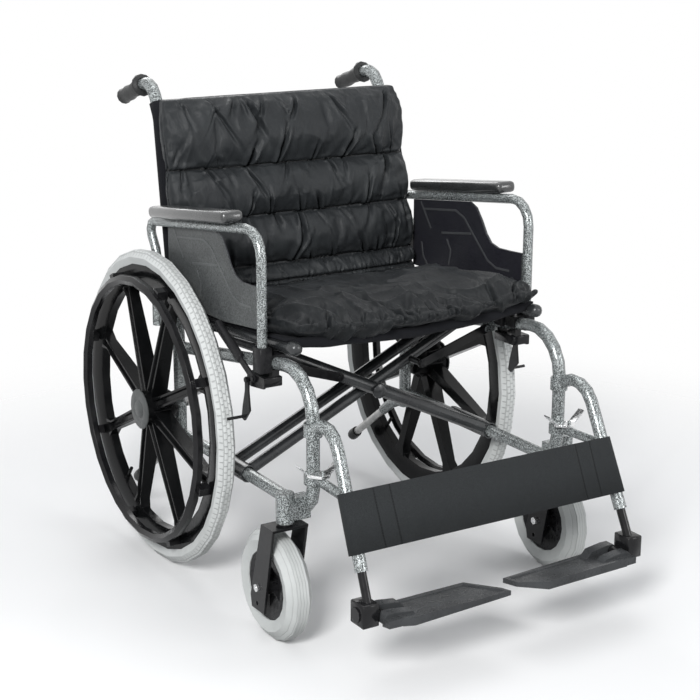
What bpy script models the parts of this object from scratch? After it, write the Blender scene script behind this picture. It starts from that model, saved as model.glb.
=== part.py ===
"""A folding heavy-duty wheelchair with lift-off armrests and swing-away footrests.

Metres, +Z up, the chair faces -Y and its left side is +X. Places are written from the rear
axle's line, y = 0, with z = 0 on the floor and x = 0 in the middle. The empty "wheelchair"
carries everything and puts the middle of the whole length at y = 0.
"""

import math

import bmesh
import bpy
from mathutils import Matrix, Vector

# Clearances
SEAT_GAP = 0.0003
RUNNING_GAP = 0.0006

# Round shapes
ARC_SAG = 0.0016
ARC_STEP = math.radians(45)
TUBE_LEVEL = 2
FLAT_ANGLE = math.radians(0.05)

# Side frames
FRAME_X = 0.2634
FRAME_TUBE_R = 0.0120
POST_R = 0.0125
UPPER_REAR_Z = 0.4174
UPPER_RISE = 0.1575
FRONT_POST_Y = -0.510
FRONT_BEND_R = 0.080
LOWER_RAIL_Z = 0.242
LOWER_BEND_R = 0.045
POST_FOOT_Z = 0.212
POST_LEAN_Z = 0.450
POST_LEAN_R = 0.100

# Push handles
HANDLE_X = 0.252
HANDLE_KNEE_Y = 0.0788
HANDLE_KNEE_Z = 0.849
HANDLE_KNEE_R = 0.030
HANDLE_BEND_Y = 0.1165
HANDLE_BEND_Z = 0.918
HANDLE_BEND_R = 0.040
HANDLE_END_Y = 0.242
HANDLE_DROP = 0.343
GRIP_R = 0.0150
GRIP_FLANGE_R = 0.0225
GRIP_LENGTH = 0.104
GRIP_WALL_END = 0.006
GRIP_BUMPS = 2

# Rear wheels
WHEEL_R = 0.305
WHEEL_X = 0.3145
WHEEL_STEPS = 28
TYRE_WIDTH = 0.034
RIM_R = WHEEL_R - 0.026
RIM_INNER_R = WHEEL_R - 0.065
RIM_WIDTH = 0.028
SPOKES = 8
SPOKE_ANGLE = math.radians(20)
HUB_R = 0.034
HUB_BORE_R = 0.0066
HUB_IN_X = 0.280
HUB_OUT_X = 0.3485
HUB_RECESS_R = 0.0135
HUB_RECESS_DEPTH = 0.010
HUB_CAP_R = 0.039
HUB_CAP_DEPTH = 0.0075
AXLE_R = 0.0060
AXLE_NUT_R = 0.0100
VALVE_ANGLE = math.radians(-52)
HANDRIM_R = WHEEL_R - 0.053
HANDRIM_TUBE_R = 0.0100
HANDRIM_X = 0.3507

# Casters
CASTER_X = 0.3036
CASTER_STEM_Y = -0.483
CASTER_TRAIL = 0.035
CASTER_R = 0.100
CASTER_WIDTH = 0.050
CASTER_STEPS = 18
CASTER_RIM_R = 0.062
CASTER_RIM_WIDTH = 0.036
CASTER_HUB_R = 0.017
CASTER_HUB_WIDTH = 0.046
CASTER_RIBS = 6
CASTER_AXLE_R = 0.0040
FORK_HALF = 0.0350
FORK_PLATE = 0.0045
FORK_CROWN_Z = 0.2215
FORK_FOOT_Z = 0.056
HOUSING_R = 0.0160
HOUSING_FOOT_Z = 0.2255
HOUSING_TOP_Z = 0.279
STEM_R = 0.0060

# Fold: crossed legs, seat rails and links
SEAT_RAIL_X = 0.2574
SEAT_RAIL_R = 0.0105
SEAT_RAIL_Z = 0.4772
SEAT_RAIL_RISE = 0.088
SEAT_RAIL_REAR_Y = -0.046
SEAT_RAIL_FRONT_Y = -0.436
SEAT_CAP_R = 0.0125
SEAT_CAP_LENGTH = 0.022
WIDE_LEG_R = 0.0125
WIDE_LEG_YS = (-0.292, -0.187)
NARROW_LEG_R = 0.0110
NARROW_LEG_YS = (-0.2670, -0.2120)
LEG_DROP = 0.012
CROSS_Z = 0.3655
SLEEVE_R = 0.0165
SLEEVE_BORE_R = 0.0135
PIVOT_BOLT_R = 0.0050
PIVOT_HEAD_R = 0.0140
LINK_Y = -0.3135
LINK_THICK = 0.0040
LINK_WIDTH = 0.0170
LINK_PIVOT_IN = 0.0234
LINK_PIVOT_Z = 0.456
LINK_REACH = 0.100
LINK_PIN_R = 0.0035

# Seat and back
SLING_THICK = 0.0040
SLING_SAG = 0.016
SLING_FREE = SEAT_RAIL_X - 0.006
SLING_FRONT_Y = -0.426
SLING_REAR_Y = -0.050
CUSHION_HALF = 0.262
CUSHION_FRONT_Y = -0.452
CUSHION_REAR_Y = -0.070
CUSHION_EDGE = 0.026
CUSHION_CROWN = 0.066
BACK_SLING_LOW_Z = 0.514
BACK_SLING_TOP_Z = 0.876
BACK_SLING_R = 0.0152
BACK_SLING_BORE_R = 0.0136
BACK_SLING_SHEET = 0.0030
BACK_HALF = 0.266
BACK_LOW_Z = 0.508
BACK_TOP_Z = 0.886
BACK_SEAMS_Z = (0.565, 0.660, 0.755)
BACK_THICK = 0.052
BACK_SEAM_THICK = 0.024

# Armrests
ARM_X = 0.2855
ARM_TUBE_R = 0.0095
ARM_FRONT_Y = -0.376
ARM_REAR_Y = 0.078
ARM_LEG_Y = 0.040
ARM_REST_Z = WHEEL_R * 2 + 0.0545
ARM_RISE = 0.1269
ARM_BEND_R = 0.045
ARM_LEG_BEND_Z = 0.597
ARM_FRONT_FOOT_Z = 0.466
ARM_REAR_FOOT_Z = 0.460
PAD_X = 0.295
PAD_WIDTH = 0.043
PAD_THICK = 0.022
PAD_FRONT_Y = -0.295
PAD_REAR_Y = 0.012
PANEL_X = 0.2795
PANEL_THICK = 0.0050
PANEL_BEAD = 0.0006
SOCKET_WALL = 0.0022

# Brakes
BRAKE_PIVOT_Y = -0.352
BRAKE_PIVOT_Z = 0.446
BRAKE_LEVER_X = 0.2905
BRAKE_LEVER_THICK = 0.0035
BRAKE_GRIP_START = 0.052
BRAKE_GRIP_LENGTH = 0.102
BRAKE_GRIP_ANGLE = math.radians(27)
SHOE_X = 0.2946
SHOE_PIVOT_Y = -0.336
SHOE_PIVOT_Z = 0.4405
SHOE_ROD_Y = -0.3225
SHOE_ROD_Z = 0.370
SHOE_ROD_R = 0.0030

# Hangers and footrests
HANGER_TUBE_R = 0.0115
HANGER_START_Z = 0.400
HANGER_BEND_Y = -0.5735
HANGER_BEND_Z = 0.432
HANGER_BEND_R = 0.050
HANGER_TOP_X = 0.2655
HANGER_FOOT_X = 0.276
HANGER_FOOT_Y = -0.705
HANGER_FOOT_Z = 0.150
HANGER_END_Z = 0.200
HANGER_BORE_R = 0.0087
KNUCKLE_R = 0.0162
KNUCKLE_BORE_R = 0.0134
LINK_TUBE_Z = 0.308
LINK_TUBE_R = 0.0085
FOOT_TUBE_R = 0.0080
BLOCK_SIZE = (0.032, 0.040, 0.040)
BLOCK_OUT = 0.003
BLOCK_Y = -0.700
BLOCK_Z = 0.137
PLATE_HINGE_X = 0.250
PLATE_HINGE_Z = 0.128
PLATE_TIP_X = 0.0155
PLATE_THICK = 0.0150
PLATE_BORDER = 0.009
PLATE_TRAY = 0.0025
PLATE_MID_Y = BLOCK_Y + 0.010
PLATE_MID_Z = 0.1175
PLATE_TILT = 0.176
PLATE_PIN_R = 0.0040
STRAP_TOP_Z = 0.318
STRAP_FOOT_Z = 0.226
STRAP_THICK = 0.0030

# Tipping levers
TIP_STUB_R = 0.0115
TIP_TUBE_R = 0.0085
TIP_START_Y = 0.0132
TIP_START_Z = 0.228
TIP_KNEE_Y = 0.050
TIP_KNEE_Z = 0.205
TIP_END_Y = 0.208
TIP_END_Z = 0.088
TIP_CAP_R = 0.0125
TIP_CAP_LENGTH = 0.030

# The middle of the whole length, measured from the axle: front of the footplates to rear of the tyres.
PLATE_FRONT_Y = BLOCK_Y - 0.0565
MIDDLE_Y = (PLATE_FRONT_Y + WHEEL_R) / 2

SIDES = (("right", -1), ("left", 1))
SCENE_NAME = "wheelchair"
origins = {}


def clear_scene():
    """Removes the objects that the file opened with."""
    for thing in list(bpy.data.objects):
        bpy.data.objects.remove(thing, do_unlink=True)


def make_material(name, colour, roughness, metallic):
    """A Principled surface of one colour."""
    material = bpy.data.materials.new(name)
    material.use_nodes = True
    shader = material.node_tree.nodes["Principled BSDF"]
    shader.inputs["Base Color"].default_value = (*colour, 1)
    shader.inputs["Roughness"].default_value = roughness
    shader.inputs["Metallic"].default_value = metallic
    material.diffuse_color = (*colour, 1)
    return material


def object_of(mesh):
    """A new object of this mesh, in the chair's collection."""
    thing = bpy.data.objects.new("piece", mesh)
    parts.objects.link(thing)
    return thing


def bake(thing):
    """Keeps what the modifiers make as the object's own mesh."""
    graph = bpy.context.evaluated_depsgraph_get()
    mesh = bpy.data.meshes.new_from_object(thing.evaluated_get(graph))
    thing.modifiers.clear()
    if thing.type != "MESH":
        solid = object_of(mesh)
        solid.matrix_world = thing.matrix_world
        bpy.data.objects.remove(thing, do_unlink=True)
        thing = solid
    else:
        thing.data = mesh
    shape = bmesh.new()
    shape.from_mesh(mesh)
    bmesh.ops.remove_doubles(shape, verts=shape.verts, dist=1e-6)
    bmesh.ops.dissolve_degenerate(shape, edges=shape.edges, dist=1e-6)
    bmesh.ops.dissolve_limit(shape, angle_limit=FLAT_ANGLE, verts=shape.verts, edges=shape.edges)
    shape.to_mesh(mesh)
    shape.free()
    return thing


def transformed(thing, matrix):
    """Moves the mesh itself, so that the object's own matrix stays plain."""
    thing.data.transform(matrix)
    if matrix.determinant() < 0:
        thing.data.flip_normals()
    return thing


def path(corners, radii):
    """A route through the corners, each inner corner rounded by its radius."""
    points = [Vector(corners[0])]
    for before, corner, after, radius in zip(corners, corners[1:], corners[2:], radii):
        into = (Vector(corner) - Vector(before)).normalized()
        out = (Vector(after) - Vector(corner)).normalized()
        turn = into.angle(out)
        start = Vector(corner) - into * radius * math.tan(turn / 2)
        spin_axis = into.cross(out).normalized()
        centre = start + spin_axis.cross(into) * radius
        fine = 2 * math.acos(max(0.0, 1 - ARC_SAG / radius))
        steps = max(1, math.ceil(turn / min(ARC_STEP, fine)))
        for step in range(steps + 1):
            spin = Matrix.Rotation(turn * step / steps, 3, spin_axis)
            points.append(centre + spin @ (start - centre))
    points.append(Vector(corners[-1]))
    return points


def rounded(corners, radius):
    """A closed flat outline with every corner rounded by one radius."""
    count = len(corners)
    points = []
    for k in range(count):
        trio = [(*corners[(k + step) % count], 0) for step in (-1, 0, 1)]
        points += [point.xy for point in path(trio, [radius])[1:-1]]
    return points


def tube(points, radius, level=TUBE_LEVEL):
    """A round bar along the points, with flat ends."""
    curve = bpy.data.curves.new("tube", "CURVE")
    curve.dimensions = "3D"
    curve.bevel_depth = radius
    curve.bevel_resolution = level
    curve.use_fill_caps = True
    spline = curve.splines.new("POLY")
    spline.points.add(len(points) - 1)
    for point, place in zip(spline.points, points):
        point.co = (*place, 1)
    thing = bpy.data.objects.new("tube", curve)
    parts.objects.link(thing)
    return outward(bake(thing))


def outward(thing):
    """Turns the faces of a closed mesh outward."""
    shape = bmesh.new()
    shape.from_mesh(thing.data)
    bmesh.ops.recalc_face_normals(shape, faces=shape.faces)
    shape.to_mesh(thing.data)
    shape.free()
    return thing


def rod(start, end, radius, sides=10, end_radius=None):
    """A straight cylinder or cone between two points."""
    start, end = Vector(start), Vector(end)
    shape = bmesh.new()
    bmesh.ops.create_cone(
        shape,
        cap_ends=True,
        segments=sides,
        radius1=radius,
        radius2=radius if end_radius is None else end_radius,
        depth=(end - start).length,
    )
    mesh = bpy.data.meshes.new("rod")
    shape.to_mesh(mesh)
    shape.free()
    turn = (end - start).to_track_quat("Z", "Y").to_matrix().to_4x4()
    return transformed(object_of(mesh), Matrix.Translation((start + end) / 2) @ turn)


def box(centre, size, turn=None, bevel=0.0, segments=1):
    """A block, turned about its centre, with rounded edges where a bevel is given."""
    shape = bmesh.new()
    bmesh.ops.create_cube(shape, size=1)
    mesh = bpy.data.meshes.new("box")
    shape.to_mesh(mesh)
    shape.free()
    thing = transformed(object_of(mesh), Matrix.Diagonal((*size, 1)))
    if bevel:
        edge = thing.modifiers.new("edges", "BEVEL")
        edge.width = bevel
        edge.segments = segments
        edge.limit_method = "ANGLE"
        thing = bake(thing)
    spin = Matrix.Identity(4) if turn is None else turn.to_4x4()
    return transformed(thing, Matrix.Translation(centre) @ spin)


def plate(outline, thickness, across, level, holes=()):
    """A flat piece: outline points (u, v), half the thickness to each side of its plane.

    across is the axis through the plane. On X the outline is (y, z), on Y it is (x, z) and on
    Z it is (x, y).
    """
    curve = bpy.data.curves.new("plate", "CURVE")
    curve.dimensions = "2D"
    curve.fill_mode = "BOTH"
    curve.extrude = thickness / 2
    for loop in (outline, *holes):
        spline = curve.splines.new("POLY")
        spline.points.add(len(loop) - 1)
        for point, place in zip(spline.points, loop):
            point.co = (place[0], place[1], 0, 1)
        spline.use_cyclic_u = True
    thing = bpy.data.objects.new("plate", curve)
    parts.objects.link(thing)
    thing = bake(thing)
    frames = {
        "X": Matrix(((0, 0, 1, level), (1, 0, 0, 0), (0, 1, 0, 0), (0, 0, 0, 1))),
        "Y": Matrix(((1, 0, 0, 0), (0, 0, -1, level), (0, 1, 0, 0), (0, 0, 0, 1))),
        "Z": Matrix.Translation((0, 0, level)),
    }
    return outward(transformed(thing, frames[across]))


def circle(centre, radius, sides=10):
    """Outline points of a round hole or boss."""
    turns = [2 * math.pi * (k + 0.5) / sides for k in range(sides)]
    return [(centre[0] + radius * math.cos(t), centre[1] + radius * math.sin(t)) for t in turns]


def turned(profile, steps, centre, direction, closed=True):
    """A turned piece: (radius, height) points from top to bottom on the outer side.

    Heights run along the direction from the centre. An open profile starts and ends on the axis.
    """
    mesh = bpy.data.meshes.new("turned")
    count = len(profile)
    edges = [(k, (k + 1) % count) for k in range(count if closed else count - 1)]
    mesh.from_pydata([(radius, 0, height) for radius, height in profile], edges, [])
    thing = object_of(mesh)
    screw = thing.modifiers.new("turn", "SCREW")
    screw.steps = steps
    screw.render_steps = steps
    screw.use_merge_vertices = True
    screw.merge_threshold = 0.00001
    thing = outward(bake(thing))
    turn = Vector(direction).to_track_quat("Z", "Y").to_matrix().to_4x4()
    return transformed(thing, Matrix.Translation(centre) @ turn)


def combine(body, others, operation):
    """One Boolean after another, each kept in the body's own mesh."""
    for other in others:
        step = body.modifiers.new(operation.lower(), "BOOLEAN")
        step.operation = operation
        step.solver = "EXACT"
        step.object = other
        bake(body)
        bpy.data.objects.remove(other, do_unlink=True)
    return body


def join(body, *others):
    """The body grown together with the others."""
    return combine(body, others, "UNION")


def cut(body, *others):
    """The body with the others taken out."""
    return combine(body, others, "DIFFERENCE")


def finish(thing, name, material, origin, parent=None):
    """Names a piece, gives it its material and puts its origin on its joint or seat."""
    origin = Vector(origin)
    origins[name] = origin
    thing.name = name
    thing.data.name = name
    thing.data.materials.clear()
    thing.data.materials.append(material)
    thing.data.transform(Matrix.Translation(-origin))
    thing.data.shade_smooth()
    thing.data.set_sharp_from_angle(angle=math.radians(40))
    thing.parent = bpy.data.objects[parent] if parent else chair
    thing.location = origin - (origins[parent] if parent else Vector())
    return thing


def upper_z(y):
    """Height of the side frame's upper tube at y."""
    return UPPER_REAR_Z - UPPER_RISE * y


def seat_rail_z(y):
    """Height of the seat rails at y."""
    return SEAT_RAIL_Z - SEAT_RAIL_RISE * y


def arm_z(y):
    """Height of the armrest tube's long run at y."""
    return ARM_REST_Z - ARM_RISE * y


def post_at(z):
    """(x, y) of the back post's straight run, carried on past the handle's knee, at height z."""
    share = (z - POST_LEAN_Z) / (HANDLE_KNEE_Z - POST_LEAN_Z)
    return FRAME_X + (HANDLE_X - FRAME_X) * share, HANDLE_KNEE_Y * share


def knee_at(z):
    """(x, y) of the back post between the handle's knee and its bend, at height z."""
    share = (z - HANDLE_KNEE_Z) / (HANDLE_BEND_Z - HANDLE_KNEE_Z)
    return HANDLE_X, HANDLE_KNEE_Y + (HANDLE_BEND_Y - HANDLE_KNEE_Y) * share


def hanger_at(z):
    """(x, y) of the hanger's straight run at height z."""
    share = (HANGER_BEND_Z - z) / (HANGER_BEND_Z - HANGER_FOOT_Z)
    x = HANGER_TOP_X + (HANGER_FOOT_X - HANGER_TOP_X) * share
    return x, HANGER_BEND_Y + (HANGER_FOOT_Y - HANGER_BEND_Y) * share


LEG_ANGLE = math.atan2(CROSS_Z - LOWER_RAIL_Z, FRAME_X)
LINK_END_X = LINK_REACH * math.cos(LEG_ANGLE)
LINK_END_Z = CROSS_Z + LINK_REACH * math.sin(LEG_ANGLE)


def side_frame(side, sign):
    """Bent side tube, back post with its push handle, and the fittings welded to them."""
    x = sign * FRAME_X
    front_top = (x, FRONT_POST_Y, upper_z(FRONT_POST_Y))
    loop = path(
        [(x, 0, UPPER_REAR_Z), front_top, (x, FRONT_POST_Y, LOWER_RAIL_Z), (x, 0, LOWER_RAIL_Z)],
        [FRONT_BEND_R, LOWER_BEND_R],
    )
    body = tube(loop, FRAME_TUBE_R)
    handle_end_z = HANDLE_BEND_Z - HANDLE_DROP * (HANDLE_END_Y - HANDLE_BEND_Y)
    post = path(
        [
            (x, 0, POST_FOOT_Z),
            (x, 0, POST_LEAN_Z),
            (sign * HANDLE_X, HANDLE_KNEE_Y, HANDLE_KNEE_Z),
            (sign * HANDLE_X, HANDLE_BEND_Y, HANDLE_BEND_Z),
            (sign * HANDLE_X, HANDLE_END_Y, handle_end_z),
        ],
        [POST_LEAN_R, HANDLE_KNEE_R, HANDLE_BEND_R],
    )
    join(body, tube(post, POST_R))

    # Caster housing with its bracket, and the bore for the caster's stem.
    housing_x = sign * CASTER_X
    bracket_x = sign * (FRAME_X + CASTER_X - HOUSING_R) / 2 + sign * 0.004
    bracket = box(
        (bracket_x, CASTER_STEM_Y, (HOUSING_FOOT_Z + HOUSING_TOP_Z) / 2 - 0.003),
        (CASTER_X - FRAME_X, 0.024, 0.040),
    )
    housing = rod(
        (housing_x, CASTER_STEM_Y, HOUSING_FOOT_Z),
        (housing_x, CASTER_STEM_Y, HOUSING_TOP_Z),
        HOUSING_R,
        16,
    )
    stem_bore = rod(
        (housing_x, CASTER_STEM_Y, HOUSING_FOOT_Z - 0.005),
        (housing_x, CASTER_STEM_Y, HOUSING_TOP_Z - 0.004),
        STEM_R + RUNNING_GAP,
        12,
    )
    join(body, bracket, housing)
    cut(body, stem_bore)

    # Hole through the back post for the rear axle.
    axle_z = WHEEL_R
    cut(body, rod((x - 0.03, 0, axle_z), (x + 0.03, 0, axle_z), AXLE_R + SEAT_GAP, 12))

    # Ring under the hanger's upper knuckle.
    ring_z = HANGER_START_Z - 0.0195
    ring = rod((x, FRONT_POST_Y, ring_z), (x, FRONT_POST_Y, ring_z + 0.006), KNUCKLE_R, 12)
    join(body, ring)

    # Lug and pin that carry the link arm.
    pin_x = sign * (FRAME_X - LINK_PIVOT_IN)
    lug_back = LINK_Y + LINK_THICK / 2 + RUNNING_GAP
    lug = plate(
        rounded(
            [
                (pin_x - sign * 0.008, LINK_PIVOT_Z - 0.008),
                (x, LINK_PIVOT_Z - 0.008),
                (x, upper_z(LINK_Y)),
                (pin_x - sign * 0.008, LINK_PIVOT_Z + 0.009),
            ],
            0.002,
        ),
        0.003,
        "Y",
        lug_back + 0.0015,
    )
    pin = rod((pin_x, lug_back + 0.001, LINK_PIVOT_Z), (pin_x, LINK_Y - 0.0035, LINK_PIVOT_Z), LINK_PIN_R)
    head_y = LINK_Y - LINK_THICK / 2 - RUNNING_GAP
    head = rod((pin_x, head_y, LINK_PIVOT_Z), (pin_x, head_y - 0.0025, LINK_PIVOT_Z), 0.0065)
    join(body, lug, pin, head)

    # Socket for the armrest's rear leg, on a short bar from the back post.
    socket_mid = ARM_REAR_FOOT_Z + 0.022
    post_x, post_y = post_at(socket_mid)
    bar = rod(
        (sign * post_x, post_y, socket_mid),
        (sign * ARM_X, ARM_LEG_Y, socket_mid),
        0.0050,
        8,
    )
    socket_r = ARM_TUBE_R + SEAT_GAP * 2
    socket = rod(
        (sign * ARM_X, ARM_LEG_Y, ARM_REAR_FOOT_Z - 0.004),
        (sign * ARM_X, ARM_LEG_Y, ARM_REAR_FOOT_Z + 0.045),
        socket_r + SOCKET_WALL,
        12,
    )
    leg_bore = rod(
        (sign * ARM_X, ARM_LEG_Y, ARM_REAR_FOOT_Z - SEAT_GAP),
        (sign * ARM_X, ARM_LEG_Y, ARM_REAR_FOOT_Z + 0.060),
        socket_r,
        16,
    )
    join(body, bar, socket)
    cut(body, leg_bore)

    # Cradle that the seat rail's rear end rests in.
    cradle_y = -0.110
    cradle = box(
        (sign * (FRAME_X + SEAT_RAIL_X) / 2, cradle_y, (upper_z(cradle_y) + seat_rail_z(cradle_y)) / 2),
        (0.024, 0.022, seat_rail_z(cradle_y) - upper_z(cradle_y)),
    )
    rail_cut = rod(
        seat_rail_point(sign, cradle_y + 0.03),
        seat_rail_point(sign, cradle_y - 0.03),
        SEAT_RAIL_R + SEAT_GAP,
        16,
    )
    cut(cradle, rail_cut)
    join(body, cradle)

    # Stub with the bore that holds the tipping lever.
    stub = tube(tipping_route(sign)[:-1], TIP_STUB_R)
    join(body, stub)
    cut(body, tube(tipping_bore_route(sign), TIP_TUBE_R + SEAT_GAP))
    return body


def seat_rail_point(sign, y):
    """A point on the seat rail's axis."""
    return Vector((sign * SEAT_RAIL_X, y, seat_rail_z(y)))


def tipping_route(sign):
    """Start in the back post, knee and end of the tipping lever."""
    x = sign * FRAME_X
    knee = Vector((x, TIP_KNEE_Y, TIP_KNEE_Z))
    end = Vector((x, TIP_END_Y, TIP_END_Z))
    along = (end - knee).normalized()
    return [Vector((x, 0, TIP_START_Z)), knee, knee + along * 0.040, end]


def tipping_bore_route(sign):
    """The straight bore in the stub, from just past the knee to beyond its mouth."""
    start, knee, mouth, end = tipping_route(sign)
    along = (end - knee).normalized()
    return [knee + along * 0.008, mouth + along * 0.010]


def push_grip(sign):
    """Ribbed grip with a flange, closed at its end, over the handle tube."""
    slope = Vector((0, 1, -HANDLE_DROP)).normalized()
    end_z = HANDLE_BEND_Z - HANDLE_DROP * (HANDLE_END_Y - HANDLE_BEND_Y)
    tube_end = Vector((sign * HANDLE_X, HANDLE_END_Y, end_z))
    outer_end = tube_end + slope * (GRIP_WALL_END + SEAT_GAP)
    bore = POST_R + SEAT_GAP * 2
    profile = [(0, 0), (GRIP_R * 0.75, 0), (GRIP_R + 0.001, -0.005)]
    length = GRIP_LENGTH - 0.012
    for bump in range(GRIP_BUMPS):
        start = 0.008 + (length - 0.012) * bump / GRIP_BUMPS
        pitch = (length - 0.012) / GRIP_BUMPS
        profile += [(GRIP_R - 0.0012, -start - pitch * 0.15), (GRIP_R + 0.0010, -start - pitch * 0.6)]
    profile += [
        (GRIP_R - 0.001, -length),
        (GRIP_FLANGE_R - 0.0015, -length - 0.0005),
        (GRIP_FLANGE_R, -length - 0.0040),
        (GRIP_FLANGE_R - 0.0015, -length - 0.0080),
        (GRIP_R, -length - 0.0105),
        (GRIP_R, -GRIP_LENGTH),
        (bore, -GRIP_LENGTH),
        (bore, -GRIP_WALL_END),
        (0, -GRIP_WALL_END),
    ]
    return turned(profile, 12, outer_end, slope, closed=False)


def spoke(angle):
    """A grooved spoke that tapers from the hub and flares into a foot at the rim."""
    stations = (
        (0.0305, 0.0113, 0.0165, 0.0040),
        (0.222, 0.0100, 0.0100, 0.0000),
        (RIM_INNER_R + 0.003, 0.0190, 0.0100, 0.0000),
    )
    groove = 0.006
    shape = bmesh.new()
    rings = []
    for distance, half, deep, shift in stations:
        section = (
            (-half, -deep),
            (half, -deep),
            (half, deep),
            (half * 0.60, deep),
            (half * 0.40, deep - groove),
            (-half * 0.40, deep - groove),
            (-half * 0.60, deep),
            (-half, deep),
        )
        rings.append([shape.verts.new((shift + w, u, distance)) for u, w in section])
    for low, high in zip(rings, rings[1:]):
        for k in range(len(low)):
            after = (k + 1) % len(low)
            shape.faces.new((low[k], low[after], high[after], high[k]))
    shape.faces.new(rings[0])
    shape.faces.new(rings[-1])
    mesh = bpy.data.meshes.new("spoke")
    shape.to_mesh(mesh)
    shape.free()
    spin = Matrix.Rotation(math.pi / 2 - angle, 4, "X")
    return outward(transformed(object_of(mesh), spin.inverted()))


def to_wheel(thing, sign):
    """Moves a piece modelled about the wheel's centre, outboard along +X, to its side."""
    transformed(thing, Matrix.Translation((WHEEL_X, 0, WHEEL_R)))
    if sign < 0:
        transformed(thing, Matrix.Scale(-1, 4, (1, 0, 0)))
    return thing


def rear_wheel(sign):
    """Moulded rim, eight grooved spokes and the hub barrel, with the valve."""
    half = RIM_WIDTH / 2
    rim = turned(
        [
            (RIM_INNER_R, half - 0.006),
            (RIM_R - 0.016, half),
            (RIM_R, half),
            (RIM_R, -half),
            (RIM_R - 0.016, -half),
            (RIM_INNER_R, -half + 0.006),
        ],
        WHEEL_STEPS,
        (0, 0, 0),
        (1, 0, 0),
    )
    hub_in = HUB_IN_X - WHEEL_X
    hub_out = HUB_OUT_X - WHEEL_X
    hub = turned(
        [
            (HUB_BORE_R, hub_out - HUB_RECESS_DEPTH),
            (HUB_RECESS_R, hub_out - HUB_RECESS_DEPTH),
            (HUB_RECESS_R, hub_out),
            (HUB_R, hub_out),
            (HUB_R, hub_in + 0.014),
            (HUB_R - 0.010, hub_in),
            (HUB_BORE_R, hub_in),
        ],
        22,
        (0, 0, 0),
        (1, 0, 0),
    )
    spokes = [spoke(SPOKE_ANGLE + 2 * math.pi * k / SPOKES) for k in range(SPOKES)]
    body = join(hub, *spokes)
    out = Vector((0, math.cos(VALVE_ANGLE), math.sin(VALVE_ANGLE)))
    valve = rod(out * (RIM_INNER_R + 0.004), out * (RIM_INNER_R - 0.030), 0.0035, 8)
    join(rim, valve)
    join(rim, body)
    return to_wheel(rim, sign)


def rear_tyre(sign):
    """Tyre seated on the rim, with a rounded tread."""
    half = TYRE_WIDTH / 2
    seat = RIM_R + SEAT_GAP
    profile = [
        (WHEEL_R, half * 0.45),
        (WHEEL_R, -half * 0.45),
        (WHEEL_R - 0.0120, -half),
        (seat, -half * 0.80),
        (seat, half * 0.80),
        (WHEEL_R - 0.0120, half),
    ]
    return to_wheel(turned(profile, WHEEL_STEPS, (0, 0, 0), (1, 0, 0)), sign)


def handrim(sign):
    """Push ring with a short tab to the rim at each spoke."""
    reach = HANDRIM_X - WHEEL_X
    ring = turned(
        [
            (
                HANDRIM_R + HANDRIM_TUBE_R * math.cos(math.pi * (k + 0.5) / 3),
                reach - HANDRIM_TUBE_R * math.sin(math.pi * (k + 0.5) / 3),
            )
            for k in range(6)
        ],
        WHEEL_STEPS,
        (0, 0, 0),
        (1, 0, 0),
    )
    rim_face = RIM_WIDTH / 2 + SEAT_GAP
    for k in range(SPOKES):
        angle = SPOKE_ANGLE + 2 * math.pi * k / SPOKES
        tab = box(
            ((rim_face + reach) / 2, 0, HANDRIM_R + 0.008),
            (reach - rim_face, 0.016, 0.018),
        )
        join(ring, transformed(tab, Matrix.Rotation(angle - math.pi / 2, 4, "X")))
    return to_wheel(ring, sign)


def hub_cap(sign):
    """Round cover with a raised ring and a domed middle."""
    seat = HUB_OUT_X - WHEEL_X + SEAT_GAP
    top = seat + HUB_CAP_DEPTH
    profile = [
        (0, top),
        (0.0100, top - 0.0006),
        (0.0165, top - 0.0028),
        (0.0180, top - 0.0045),
        (0.0220, top - 0.0036),
        (0.0340, top - 0.0028),
        (HUB_CAP_R, top - 0.0052),
        (HUB_CAP_R, seat),
        (0, seat),
    ]
    return to_wheel(turned(profile, 16, (0, 0, 0), (1, 0, 0), closed=False), sign)


def rear_axle(sign):
    """Bolt through the back post and hub: head inboard, spacer ring between, nut in the recess."""
    z = WHEEL_R
    post_in = FRAME_X - POST_R - SEAT_GAP
    post_out = FRAME_X + POST_R + SEAT_GAP
    nut_seat = HUB_OUT_X - HUB_RECESS_DEPTH + SEAT_GAP
    bolt = rod((sign * (post_in - 0.004), 0, z), (sign * (HUB_OUT_X - 0.001), 0, z), AXLE_R, 10)
    head = rod((sign * (post_in - 0.008), 0, z), (sign * post_in, 0, z), AXLE_NUT_R, 6)
    spacer = rod((sign * post_out, 0, z), (sign * (HUB_IN_X - SEAT_GAP), 0, z), AXLE_NUT_R, 10)
    nut = rod((sign * nut_seat, 0, z), (sign * (nut_seat + 0.007), 0, z), AXLE_NUT_R, 6)
    return join(bolt, head, spacer, nut)


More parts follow.
